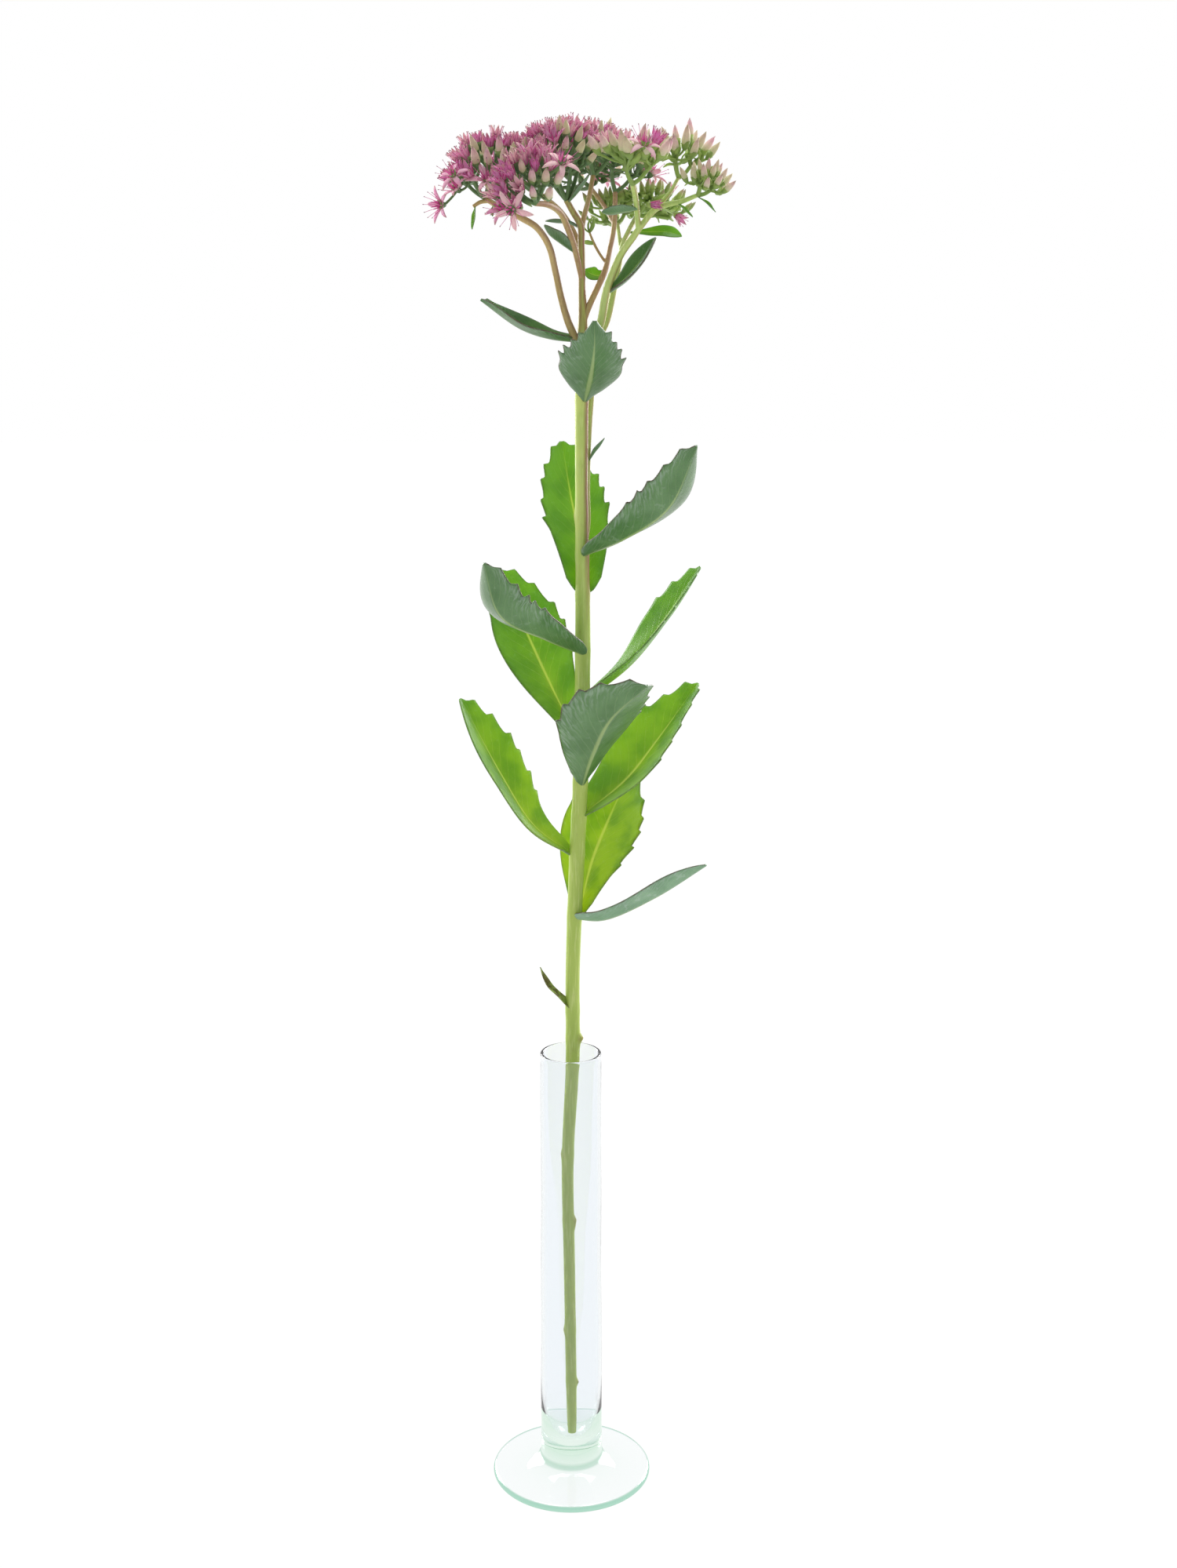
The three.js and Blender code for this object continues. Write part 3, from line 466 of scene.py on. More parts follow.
def tubes(name, lines, sides=6, count=6):
    # round tubes along lines of [x, y, z, radius] in millimetres, as one path object turned into a mesh
    deselectAll()
    bpy.ops.curve.primitive_nurbs_path_add(radius=1)
    path = bpy.context.object
    path.name = name
    path.data.splines.clear()
    path.data.bevel_depth = mm
    path.data.bevel_resolution = sides // 2 - 2
    path.data.use_fill_caps = True
    for line in lines:
        samples = smoothLine([Vector(point[:3]) for point in line], count)
        spline = path.data.splines.new("POLY")
        spline.points.add(len(samples) - 1)
        for i, sample in enumerate(samples):
            stretch = min(i // count, len(line) - 2)
            part = i / count - stretch
            spline.points[i].co = (*(sample * mm), 1)
            spline.points[i].radius = line[stretch][3] * (1 - part) + line[stretch + 1][3] * part
    bpy.ops.object.convert(target="MESH")
    return bpy.context.object


# Camera and light

def studio():
    # the photograph's view, from just below the height of the flower head and looking down a little
    view = {"place": (6.5, -698.9, 436.8), "downDegrees": 13.293, "lens": 46.44, "sensor": 36, "nearest": 10}
    bpy.ops.object.camera_add(location=[v * mm for v in view["place"]],
                              rotation=(math.radians(90 - view["downDegrees"]), 0, 0))
    camera = bpy.context.object
    camera.data.lens = view["lens"]
    camera.data.sensor_width = view["sensor"]
    camera.data.clip_start = view["nearest"] * mm
    bpy.context.scene.camera = camera
    bpy.context.scene.view_settings.view_transform = "Standard"
    # white all round behind, greyer on the camera's side, so that edges of glass and leaves read
    light = {"behind": "#ffffff", "front": "#a2aab4", "frontFrom": -0.9, "frontTo": 0.0}
    world = bpy.data.worlds.new("whiteStudio")
    world.use_nodes = True
    bpy.context.scene.world = world
    tree = world.node_tree
    tree.nodes.clear()
    place = addNode(tree, "ShaderNodeTexCoord").outputs["Generated"]
    way = addNode(tree, "ShaderNodeSeparateXYZ", {}, {0: place}).outputs[1]
    share = fadeMask(tree, (way, light["frontFrom"], light["frontTo"], 0, 1))
    back = addNode(tree, "ShaderNodeBackground", {"Strength": 1.0}, {
        "Color": painted(tree, light["front"], (share, 1, light["behind"]))})
    addNode(tree, "ShaderNodeOutputWorld", {}, {"Surface": back})
    # soft boxes behind and above, out of the picture, in metres and watts
    boxes = [
        {"name": "backLeftBox", "place": (-1.1, 1.2, 0.75), "size": 1.0, "power": 26},
        {"name": "backRightBox", "place": (1.1, 1.2, 0.75), "size": 1.0, "power": 26},
        {"name": "topBox", "place": (0, 0.35, 1.7), "size": 1.0, "power": 14},
    ]
    target = Vector((0, 0, 0.34))
    for box in boxes:
        away = Vector(box["place"]) - target
        bpy.ops.object.light_add(
            type="AREA", location=box["place"], rotation=away.to_track_quat("Z", "Y").to_euler())
        lamp = bpy.context.object
        lamp.name = box["name"]
        lamp.data.size = box["size"]
        lamp.data.energy = box["power"]
        lamp.visible_camera = False


def paleFloor():
    # A lit white table, as white as the air behind it. It meets the glass a hair above the foot's underside,
    # so that light passes from one into the other.
    table = {"width": 12000, "top": 0.03, "grainSize": 25, "light": "#262626", "dark": "#222222"}
    material, tree = newMaterial("whiteLitTable")
    place = addNode(tree, "ShaderNodeTexCoord").outputs["Object"]
    grain = addNode(tree, "ShaderNodeTexNoise", {"Scale": perMetre(table["grainSize"]), "Detail": 3}, {
        "Vector": place})
    shader = addNode(tree, "ShaderNodeBsdfPrincipled", {
        "Roughness": 0.8, "Specular IOR Level": 0, "Emission Color": (1, 1, 1, 1), "Emission Strength": 1.0,
    }, {"Base Color": painted(tree, table["light"], (grain, 1, table["dark"]))})
    addNode(tree, "ShaderNodeOutputMaterial", {}, {"Surface": shader})
    deselectAll()
    bpy.ops.mesh.primitive_plane_add(size=table["width"] * mm, location=(0, 0, table["top"] * mm))
    floor = bpy.context.object
    floor.name = "floor"
    floor.data.materials.append(material)


studio()
paleFloor()
print("camera, lights and floor placed")

# Vase

vase = {
    "height": 170.7, "rimRadius": 11.2, "baseRadius": 11.6, "wall": 1.25, "lip": 1.3,
    # the tube's straight side, from its foot to a little below the rim
    "sideFrom": 10, "sideBelowLip": 3, "bowlGap": 2,
    # the inside narrows in a bowl to its floor, and the foot rises to a rounded joint with the tube
    "bowl": [(10.3, 33), (10.1, 27), (9.6, 22.5), (8.5, 18.8), (6.7, 15.9), (4.4, 14.2), (2.2, 13.5),
             (0, 13.3)],
    "footRadius": 30, "footEdge": 1.4, "shoulders": [(26, 3.2), (20, 4.2), (15, 5.6), (13, 6.6)],
    "jointHeight": 8.3, "jointRound": 1.1, "steps": 96, "wallSteps": 26,
    # Hand-blown glass is never quite round or even. Each wave has a strength, a count round the tube and
    # the height of a turn, and they fade out at the bowl and at the rim.
    "wobble": 0.09, "waves": [(1, 2, 23), (0.7, 3, -11), (0.5, 1, 8)], "fadeLow": (16, 36), "fadeHigh": 15,
}


def arc(x, z, radius, start, end, steps):
    angles = [math.radians(start + (end - start) * i / steps) for i in range(steps + 1)]
    return [(x + radius * math.cos(a), z + radius * math.sin(a)) for a in angles]


def vaseOutline():
    v = vase
    top = v["height"] - v["lip"] / 2
    steps = v["wallSteps"]
    low, high = v["sideFrom"], top - v["sideBelowLip"]
    rise = [low + (high - low) * i / steps for i in range(steps + 1)]
    lean = (v["rimRadius"] - v["baseRadius"]) / (high - low)
    outer = [(v["baseRadius"] + (z - low) * lean, z) for z in rise]
    inner = [(x - v["wall"], z) for x, z in reversed(outer) if z > v["bowl"][0][1] + v["bowlGap"]]
    return [
        (0, 0), *arc(v["footRadius"] - v["footEdge"], v["footEdge"], v["footEdge"], -90, 80, 8),
        *v["shoulders"],
        *arc(v["baseRadius"] + v["jointRound"], v["jointHeight"], v["jointRound"], 250, 180, 5)[:-1],
        *outer, *arc(v["rimRadius"] - v["lip"] / 2, top, v["lip"] / 2, -20, 200, 10),
        *inner, *v["bowl"],
    ]


def blownVase():
    outline = vaseOutline()
    deselectAll()
    bpy.ops.mesh.primitive_plane_add(size=mm)
    piece = bpy.context.object
    bpy.ops.object.mode_set(mode="EDIT")
    bpy.ops.mesh.merge(type="CENTER")
    for (x, z), (nextX, nextZ) in zip(outline, outline[1:]):
        bpy.ops.mesh.extrude_region_move(
            TRANSFORM_OT_translate={"value": ((nextX - x) * mm, 0, (nextZ - z) * mm)})
    bpy.ops.mesh.select_all(action="SELECT")
    bpy.ops.mesh.spin(steps=vase["steps"], angle=2 * math.pi, center=(0, 0, 0), axis=(0, 0, 1))
    bpy.ops.mesh.select_all(action="SELECT")
    bpy.ops.mesh.remove_doubles(threshold=0.002 * mm)
    bpy.ops.mesh.normals_make_consistent(inside=False)
    bpy.ops.object.mode_set(mode="OBJECT")
    for vertex in piece.data.vertices:
        angle = math.atan2(vertex.co.y, vertex.co.x)
        z = vertex.co.z / mm
        fade = shareOf(z, *vase["fadeLow"]) * shareOf(vase["height"] - z, 0, vase["fadeHigh"])
        swell = sum(strength * math.sin(count * angle + z / turn) for strength, count, turn in vase["waves"])
        out = Vector((vertex.co.x, vertex.co.y, 0)).normalized()
        vertex.co += out * swell * fade * vase["wobble"] * mm
    piece.name = "blown_vase"
    finishPiece(piece, [vaseGlass()], "clear_glass", "glass_vase")


blownVase()
print("vase spun")

# Stem

stem = {
    "line": [
        [0.2, 0, 13.8, 1.8], [-0.2, 1.6, 45, 2.1], [-0.8, 3.6, 88, 2.2], [-1.3, 5.3, 126, 2.3],
        [0.6, 6.8, 165, 2.6], [0.7, 7.2, 199, 2.6], [2.2, 6.8, 240, 2.8], [3.6, 6.2, 271, 2.7],
        [4.5, 5.0, 322, 2.7], [4.1, 3.8, 375, 2.2], [4.2, 2.6, 407, 2.3], [4.3, 2.2, 424, 2.1],
        [4.6, 1.9, 432, 1.6], [4.3, 1.6, 443, 1.2], [4.1, 1.2, 457, 1.15], [3.8, 0.8, 463, 1.15],
        [1.2, -0.1, 467.5, 1.05], [-0.8, -1.2, 471, 1.0]],
    # leaf scars and resting buds, as place and size
    "nubs": [[2.8, 1.3, 37, 1.2], [-2.1, 2.4, 59, 1.1], [1.4, 4.0, 101.5, 1.3], [-3.2, 5.3, 127.5, 1.0],
             [3.0, 7.0, 173.5, 1.6], [2.0, 3.9, 367, 1.1]],
    # heights of the joints, where the stem swells a little
    "joints": [37, 59, 101.5, 127.5, 173.5, 184.5, 221, 244, 258, 271, 287, 302, 318, 339, 353, 367,
               406, 424],
    "jointSwell": 0.16, "jointLength": 2.2, "nubReach": 1.15, "nubHeight": 0.75, "sides": 20, "samples": 16,
    # nearer to the middle of an end cap than this, the skin isn't moved
    "capMiddle": 0.3,
    # the blush begins at a height and on the right side, and takes in the whole crown
    "blushHeights": (325, 352), "blushSide": (0.3, 0.65), "crownHeights": (422, 434), "crownBlush": 0.5,
    "crownSides": 0.4,
}


def mainStem():
    piece = tubes("stonecrop_stem", [stem["line"]], stem["sides"], stem["samples"])
    centres = smoothLine([Vector(point[:3]) for point in stem["line"]], stem["samples"])
    blush, scar = [], []
    for vertex in piece.data.vertices:
        place = vertex.co / mm
        centre = min(centres, key=lambda c: abs(c.z - place.z))
        out = Vector((place.x - centre.x, place.y - centre.y, 0))
        out = out.normalized() if out.length > stem["capMiddle"] else Vector()
        nearJoints = sum(math.exp(-((place.z - z) / stem["jointLength"]) ** 2) for z in stem["joints"])
        bulge = stem["jointSwell"] * nearJoints
        mark = 0
        for x, y, z, radius in stem["nubs"]:
            near = math.exp(-((place - Vector((x, y, z))).length / (radius * stem["nubReach"])) ** 4)
            bulge += near * radius * stem["nubHeight"]
            mark = max(mark, near)
        vertex.co += out * bulge * mm
        up = shareOf(place.z, *stem["blushHeights"])
        side = shareOf(out.x, *stem["blushSide"])
        crown = shareOf(place.z, *stem["crownHeights"])
        blush.append(min(up * side + crown * (stem["crownBlush"] + stem["crownSides"] * abs(out.x)), 1))
        scar.append(mark)
    setAttribute(piece, "blush", blush)
    setAttribute(piece, "scar", scar)
    finishPiece(piece, [stemGreen], "green_stem", "lower_stem", "upper_stem")


mainStem()

branches = [
    {"name": "branch_left", "skin": branchTan, "slot": "brown_stem", "limbs": [
        [[3.8, 1.8, 421, 1.2], [1.9, 1.0, 426.4, 1.35], [-0.4, -0.5, 431.8, 1.3], [-2.7, -2.8, 439.8, 1.2],
         [-4.5, -5.5, 448.1, 1.15], [-6.5, -8.8, 456, 1.15], [-10.4, -12, 461.8, 1.1],
         [-15, -13.5, 464.6, 1.1], [-21.5, -12.5, 467.7, 1.0], [-27.4, -8, 471.2, 0.9]],
        [[-26, -9, 470.4, 0.7], [-29, -9, 470, 0.7], [-31.4, -9, 468.6, 0.6]]]},
    {"name": "branch_front", "skin": branchOlive, "slot": "brown_stem", "limbs": [
        [[4.1, 1.2, 446, 0.9], [3.0, -0.6, 451, 1.0], [1.9, -2.9, 455.5, 1.1], [-0.3, -7, 461.7, 1.1],
         [-2.6, -12, 466.3, 1.05], [-6.5, -20, 468.6, 1.0], [-10.6, -26, 468.8, 0.9]]]},
    {"name": "branch_rear_left", "skin": branchOlive, "slot": "brown_stem", "limbs": [
        [[4.0, 1.3, 454, 0.9], [2, 6, 460, 1.0], [-3, 13, 468, 1.0], [-10, 19, 474, 0.9]]]},
    {"name": "branch_centre_right", "skin": branchOlive, "slot": "brown_stem", "limbs": [
        [[3.9, 1.0, 460, 0.9], [4.9, 2.8, 465.5, 0.95], [6.6, 8, 472, 0.85], [8.2, 12, 480, 0.8]]]},
    {"name": "branch_middle", "skin": branchOlive, "slot": "brown_stem", "limbs": [
        [[4.5, 1.8, 430.5, 1.0], [6.3, 1.9, 436, 1.15], [9.1, 3.4, 442, 1.1], [12, 6, 448.3, 1.05],
         [13.8, 11, 455.8, 0.9], [15.2, 16.5, 463, 0.9], [15.7, 25, 475, 0.85]],
        [[15.2, 17.5, 464.2, 0.8], [11.5, 26, 471, 0.8], [7, 32, 477, 0.75]],
        [[12.6, 7.8, 450.8, 0.5], [10.4, 8, 453.8, 0.5], [8.4, 8.5, 457.3, 0.5], [6.8, 8.5, 461, 0.4]]]},
    {"name": "branch_right", "skin": branchPale, "slot": "green_stem", "limbs": [
        [[5.2, 2, 410, 0.9], [6.8, -1.2, 417, 1.2], [8.3, -2.5, 424, 1.35], [10.8, -3.6, 432.2, 1.4],
         [12.5, -4.4, 441.6, 1.4], [14.8, -5, 448.1, 1.3], [17.4, -6.5, 453.7, 1.2], [21.4, -9, 459.2, 1.15],
         [24, -10.5, 463, 1.0]],
        [[22.9, -9.9, 461.2, 0.9], [22.3, -13, 467, 1.0], [21.6, -17, 471.8, 0.95], [20.7, -21, 475, 0.9]],
        [[22.9, -9.9, 461.2, 1.0], [28.3, -11.5, 467.6, 1.05], [32.6, -13, 469.2, 0.95],
         [36.5, -13.5, 469.9, 0.85], [42, -15.5, 471.9, 0.7]],
        [[28.3, -11.5, 467.6, 0.8], [33, -9, 472.8, 0.75], [36.2, -4, 478, 0.65]]]},
    {"name": "side_stem", "skin": branchPale, "slot": "green_stem", "limbs": [
        [[5.4, 4.6, 356, 0.8], [6.4, 6.9, 363, 0.85], [6.2, 7.0, 375, 0.85], [6.6, 6.4, 391.7, 0.9],
         [7.4, 5.3, 405, 0.95], [9.2, 5.5, 423.9, 1.1], [12.8, 6.6, 432.1, 1.15], [15.2, 8.8, 442.5, 1.1],
         [16.8, 12, 449.9, 1.0], [18, 16, 456.5, 0.9], [20.4, 24, 462, 0.9], [23.5, 31.5, 467.6, 0.9]],
        [[17.6, 14.6, 454.2, 0.7], [17, 22, 460.5, 0.7], [16.5, 29, 464.5, 0.75]]]},
]
branchForm = {"sides": 12, "samples": 6, "voxel": 0.26, "smooth": 5, "blushSide": (0.1, 0.8), "blush": 0.8}


def branchPiece(branch):
    # the limbs grown together at their forks
    piece = tubes("limb_" + branch["name"], branch["limbs"], branchForm["sides"], branchForm["samples"])
    makeActive(piece)
    piece.data.remesh_voxel_size = branchForm["voxel"] * mm
    bpy.ops.object.voxel_remesh()
    applyModifier(piece, "SMOOTH", factor=0.5, iterations=branchForm["smooth"])
    sides = [shareOf(vertex.normal.x, *branchForm["blushSide"]) for vertex in piece.data.vertices]
    setAttribute(piece, "blush", [side * branchForm["blush"] for side in sides])
    setAttribute(piece, "scar", [0.0] * len(sides))
    finishPiece(piece, [branch["skin"]], branch["slot"], branch["name"])


for branch in branches:
    branchPiece(branch)
print("stem and branches grown")

# Leaves. The midrib runs from inside the stem to the tip, and faces is where the upper side looks.

leafForm = {
    # the outline, in shares of the length and of the widest place
    "widest": 0.6, "base": 0.22, "heel": 0.35, "heelLength": 0.09, "tipShare": 0.05, "baseSwell": 1.4,
    "tipSwell": 0.8,
    # the flesh, thickest at the midrib, which stands out below
    "thickness": 1.3, "thicknessShare": 0.14, "edgeShare": 0.3, "rimShare": 0.05, "tipThinning": 0.5,
    "ribDrop": 0.55, "ribWidth": 0.9, "ribFade": 0.8,
    # how the halves fold up and curl, in degrees, and the waves of the margin
    "fold": 12, "cup": 20, "ripple": 0.45, "rippleTurn": 9, "rippleLag": 2, "rippleStart": 3,
    # teeth on the left and on the right edge
    "teeth": (4, 4), "toothDepth": 1.7, "fullToothWidth": 20, "toothPitch": 0.115, "toothEnd": 0.98,
    "toothLean": 0.6, "toothPlace": 0.72, "toothStray": 0.12, "toothSizes": (0.65, 1.15), "toothRise": 0.75,
    "toothDrop": 0.22, "toothCurve": 1.7,
    "acrossFaces": 20, "alongFaces": 90, "samples": 24,
}
leaves = [
    {"name": "upper_left", "skin": "shade",
     "midrib": [[3.6, 2, 426], [-6.5, 1, 427], [-16, 0, 430], [-29.5, -2, 439]], "teeth": (1, 0),
     "width": 10, "faces": [0.2, -0.25, 1], "fold": 20, "base": 0.35},
    {"name": "front_top", "skin": "shade",
     "midrib": [[5.2, 1.2, 406], [7.2, -6, 414], [8.4, -13, 423.5], [8.5, -17, 432]], "teeth": (4, 4),
     "width": 23, "faces": [0, 0.7, 0.7], "widest": 0.32, "base": 0.3, "tipSwell": 1.1, "toothEnd": 0.86},
    {"name": "rear_top", "midrib": [[5, 6, 339], [3.5, 13, 356.5], [0.3, 20, 371], [-3, 29, 390]],
     "teeth": (5, 5), "width": 23, "faces": [0.1, -0.9, 0.4], "widest": 0.52, "base": 0.5},
    {"name": "right_upper", "skin": "shade",
     "midrib": [[4.8, 2.6, 353.5], [18, -8, 360], [33, -18, 371.5], [42, -24, 392]], "teeth": (5, 0),
     "width": 23, "faces": [-0.4, 0.6, 0.7], "base": 0.3},
    {"name": "left_front", "skin": "shade",
     "midrib": [[5, 3.6, 318.5], [-8, -8, 325.5], [-23, -18, 335], [-28.3, -22, 353]], "teeth": (0, 5),
     "width": 24, "faces": [0.4, 0.6, 0.7], "base": 0.3},
    {"name": "left_rear", "midrib": [[2.6, 6, 287], [-7, 15, 304.5], [-15, 23, 320.5], [-26, 32, 343.5]],
     "teeth": (5, 2), "width": 27, "faces": [0.15, -0.9, 0.3]},
    {"name": "right_middle", "midrib": [[5, 5, 302], [21, 10, 313.5], [34, 13, 329], [46, 16, 347]],
     "teeth": (6, 3), "width": 18, "faces": [-0.6, 0.1, 0.75], "facesTip": [-0.55, -0.4, 0.7]},
    {"name": "front_middle", "skin": "shade",
     "midrib": [[4, 4.6, 271], [8, -7, 285], [14, -17, 299], [26, -26, 312]], "teeth": (5, 4),
     "width": 31, "faces": [-0.3, 0.75, 0.6]},
    {"name": "right_lower", "midrib": [[4, 7, 258.5], [20, 13, 270], [32, 19, 284], [46.5, 27, 303]],
     "teeth": (5, 3), "width": 27, "faces": [-0.55, -0.6, 0.6], "fold": 18, "widest": 0.45, "base": 0.4},
    {"name": "left_lower",
     "midrib": [[1.2, 6.6, 244], [-13, 7, 254.5], [-24.8, 9, 272.5], [-39.5, 13, 300]], "teeth": (6, 0),
     "width": 21, "faces": [0.6, -0.5, 0.6]},
    {"name": "rear_lower", "midrib": [[3, 8, 220.5], [7.7, 15, 238.5], [14.2, 22, 253.5], [22, 30, 269]],
     "teeth": (6, 3), "width": 31, "faces": [-0.3, -0.85, 0.4]},
    # its underside is painted pale, with a painted sheen
    {"name": "bottom_right", "skin": "pale",
     "midrib": [[1.6, 6, 221], [12, 1, 222], [30, -4, 231.5], [48, -9, 244.5]], "teeth": (0, 3),
     "width": 14, "faces": [-0.2, 0.45, 0.9], "base": 0.45},
]
smallForm = {"teeth": (0, 0), "acrossFaces": 10, "alongFaces": 28, "ripple": 0.1}
smallLeaves = [
    {"name": "scrap", "midrib": [[0.4, 6.9, 184.5], [-4.5, 5.5, 190.5], [-8.5, 4.5, 195], [-11, 4, 202]],
     "width": 4, "faces": [0.7, -0.5, 0.6], "fold": 30, "widest": 0.2, "base": 0.9, "ripple": 0.5},
    {"name": "side_stem", "skin": "shade",
     "midrib": [[6.5, 6.3, 385], [8.4, 5, 387.8], [10.2, 4.2, 390], [12, 3.8, 392.8]], "width": 3,
     "faces": [-0.6, 0.3, 0.7]},
    {"name": "trunk_left", "skin": "shade",
     "midrib": [[2.2, -2.2, 454.8], [-2.3, -3.5, 457.6], [-6, -4.8, 460.2], [-8, -5.5, 463]],
     "width": 7.5, "faces": [0.4, 0.3, 0.9], "base": 0.4},
    {"name": "trunk_upper", "skin": "shade",
     "midrib": [[3.6, 0.8, 462.5], [0, 2.6, 464], [-4, 3.6, 464.2], [-8, 4, 464.6]], "width": 4,
     "faces": [0.2, 0.1, 1], "base": 0.4},
    {"name": "trunk_top", "skin": "shade",
     "midrib": [[-0.6, -1.1, 470.4], [2.2, -3.6, 473], [4.8, -5, 475.9], [6.8, -6, 479.1]], "width": 4.5,
     "faces": [-0.7, 0, 0.6]},
    {"name": "branch_right", "skin": "shade",
     "midrib": [[12.7, -4.5, 441.8], [18.4, -4.8, 445.5], [23.6, -4.4, 451], [28.8, -4, 459]], "width": 9,
     "faces": [-0.6, -0.5, 0.6]},
    {"name": "branch_middle",
     "midrib": [[12, 6.4, 447.8], [9.6, 7, 446.8], [7.2, 7.2, 447.4], [5, 7.2, 448.8]], "width": 6,
     "faces": [0.2, -0.7, 0.6], "fold": 5, "base": 0.4},
    {"name": "fork", "skin": "shade",
     "midrib": [[22.2, -14, 468], [18.5, -15.5, 467.2], [14.7, -17, 466.6], [10.8, -18, 466.6]],
     "width": 5.5, "faces": [0.2, 0.6, 0.8], "fold": 5},
    {"name": "rear_bright",
     "midrib": [[20.4, 24, 461.8], [27, 21.5, 461.6], [33, 19, 461.5], [38.4, 17, 460.1]], "width": 5,
     "faces": [0, -0.8, 0.6], "fold": 5, "widest": 0.75, "base": 0.15},
]
bracts = [
    {"name": "bract_left",
     "midrib": [[-30.8, -9, 468.9], [-30.9, -10.2, 466.5], [-31.1, -10.6, 464.2], [-31.7, -11, 461.3]],
     "width": 2.4, "faces": [-0.8, -0.6, 0]},
    {"name": "bract_inner",
     "midrib": [[-24.4, -11, 469.3], [-24.7, -13, 468], [-24.7, -13.5, 466.8], [-24.8, -14, 465.3]],
     "width": 2, "faces": [-0.6, -0.7, 0]},
    {"name": "bract_right",
     "midrib": [[35.6, -13.4, 469.7], [37.2, -14.5, 468.1], [38.7, -15.5, 466.5], [40.4, -16, 465]],
     "width": 2.4, "faces": [0.5, -0.3, 0.8]},
    {"name": "bract_outer",
     "midrib": [[41.8, -15.4, 471.7], [44.6, -17.2, 469.6], [46.1, -18.3, 468], [47.7, -19, 466.4]],
     "width": 2.2, "faces": [0.5, -0.3, 0.8]},
]


def bladeShare(t, form):
    # half-width at share t of the length, as a share of the widest
    if t < form["widest"]:
        swell = math.sin(math.pi / 2 * t / form["widest"]) ** form["baseSwell"]
        heel = form["heel"] + (1 - form["heel"]) * math.sqrt(min(t / form["heelLength"], 1))
        return (form["base"] + (1 - form["base"]) * swell) * heel
    past = (t - form["widest"]) / (1 - form["widest"])
    swell = max(math.cos(math.pi / 2 * past), 0) ** form["tipSwell"]
    return form["tipShare"] + (1 - form["tipShare"]) * swell


def toothRow(form, count, dice):
    # the teeth of one edge, as the place of the point, its pitch and its depth; few teeth stand near the tip
    pitch, stray = form["toothPitch"], form["toothStray"]
    start = form["toothEnd"] - pitch * count
    return [(start + pitch * (i + form["toothPlace"] + dice.uniform(-stray, stray)), pitch,
             dice.uniform(*form["toothSizes"])) for i in range(count)]


def toothAt(t, teeth, form):
    # a slow rise to each point and a short drop past it
    height = 0
    for point, pitch, depth in teeth:
        rise = (t - point) / (form["toothRise"] * pitch) + 1
        drop = 1 - (t - point) / (form["toothDrop"] * pitch)
        if 0 < rise <= 1:
            height = max(height, depth * rise ** form["toothCurve"])
        elif 0 < drop < 1:
            height = max(height, depth * drop)
    return height


def leafPiece(leaf, form, materials, slot, node):
    # a grid bent round the midrib, with a thick middle and thin, toothed margins
    form = {**form, **leaf}
    dice = random.Random(leaf["name"])
    rows = [toothRow(form, count, dice) for count in form["teeth"]]
    phase = dice.uniform(0, 6)
    count = form["alongFaces"]
    deselectAll()
    bpy.ops.mesh.primitive_grid_add(x_subdivisions=form["acrossFaces"], y_subdivisions=count, size=1)
    piece = bpy.context.object
    midrib = smoothLine([Vector(point) for point in form["midrib"]], form["samples"])
    spots = spotsAlong(midrib, [i / count for i in range(count + 1)])
    stemFace, tipFace = Vector(form["faces"]), Vector(form.get("facesTip", form["faces"]))
    thickness = min(form["thickness"], form["width"] * form["thicknessShare"])
    toothScale = form["toothDepth"] * min(1, form["width"] / form["fullToothWidth"])
    flesh = piece.vertex_groups.new(name="flesh")
    for vertex in piece.data.vertices:
        row = round((vertex.co.y + 0.5) * count)
        t, q = row / count, -2 * vertex.co.x
        centre, along = spots[row]
        side = stemFace.lerp(tipFace, t).cross(along).normalized()
        normal = along.cross(side)
        tooth = toothAt(t, rows[q > 0], form) * toothScale
        half = form["width"] / 2 * bladeShare(t, form) + tooth * abs(q) ** 3
        reach = abs(q) * half
        angle = math.radians(form["fold"] + form["cup"] * abs(q) / 2)
        rib = math.exp(-(q * half / (form["ribWidth"] + thickness / 2)) ** 2)
        rib *= (1 - form["ribFade"] * t) * form["ribDrop"] * thickness
        wave = math.sin(form["rippleTurn"] * t + phase + (form["rippleLag"] if q > 0 else 0))
        ripple = form["ripple"] * wave * q * q * min(1, t * form["rippleStart"])
        place = centre + side * math.copysign(reach * math.cos(angle), q)
        place += normal * (reach * math.sin(angle) - rib + ripple)
        place += along * tooth * form["toothLean"] * abs(q) ** 6
        vertex.co = place * mm
        edge = form["edgeShare"]
        full = (1 - abs(q) ** 2.5) * (1 - form["tipThinning"] * t ** 4)
        flesh.add([vertex.index], edge + (1 - edge) * full, "REPLACE")
    for material in materials:
        piece.data.materials.append(material)
    applyModifier(piece, "SOLIDIFY", thickness=thickness * mm, offset=0, vertex_group="flesh",
                  thickness_vertex_group=form["rimShare"], material_offset=1, material_offset_rim=1)
    piece.name = "blade_" + leaf["name"]
    finishPiece(piece, [], slot, node)


dryLeaf = dryScrap()
for leaf in leaves + smallLeaves:
    form = {**leafForm, **smallForm} if leaf in smallLeaves else leafForm
    skins = leafSkins[leaf.get("skin", "lit")]
    if leaf["name"] == "scrap":
        leafPiece(leaf, form, [dryLeaf, dryLeaf], "dry_leaf", "leaf_scrap")
    else:
        leafPiece(leaf, form, skins, "green_leaf", "leaf_" + leaf["name"])
for leaf in bracts:
    leafPiece(leaf, {**leafForm, **smallForm}, [leafUpper, leafUnder], "green_leaf", leaf["name"])
print("leaves shaped")

# Flowers. Each kind is modelled once, upright on its base, and copied to its places.

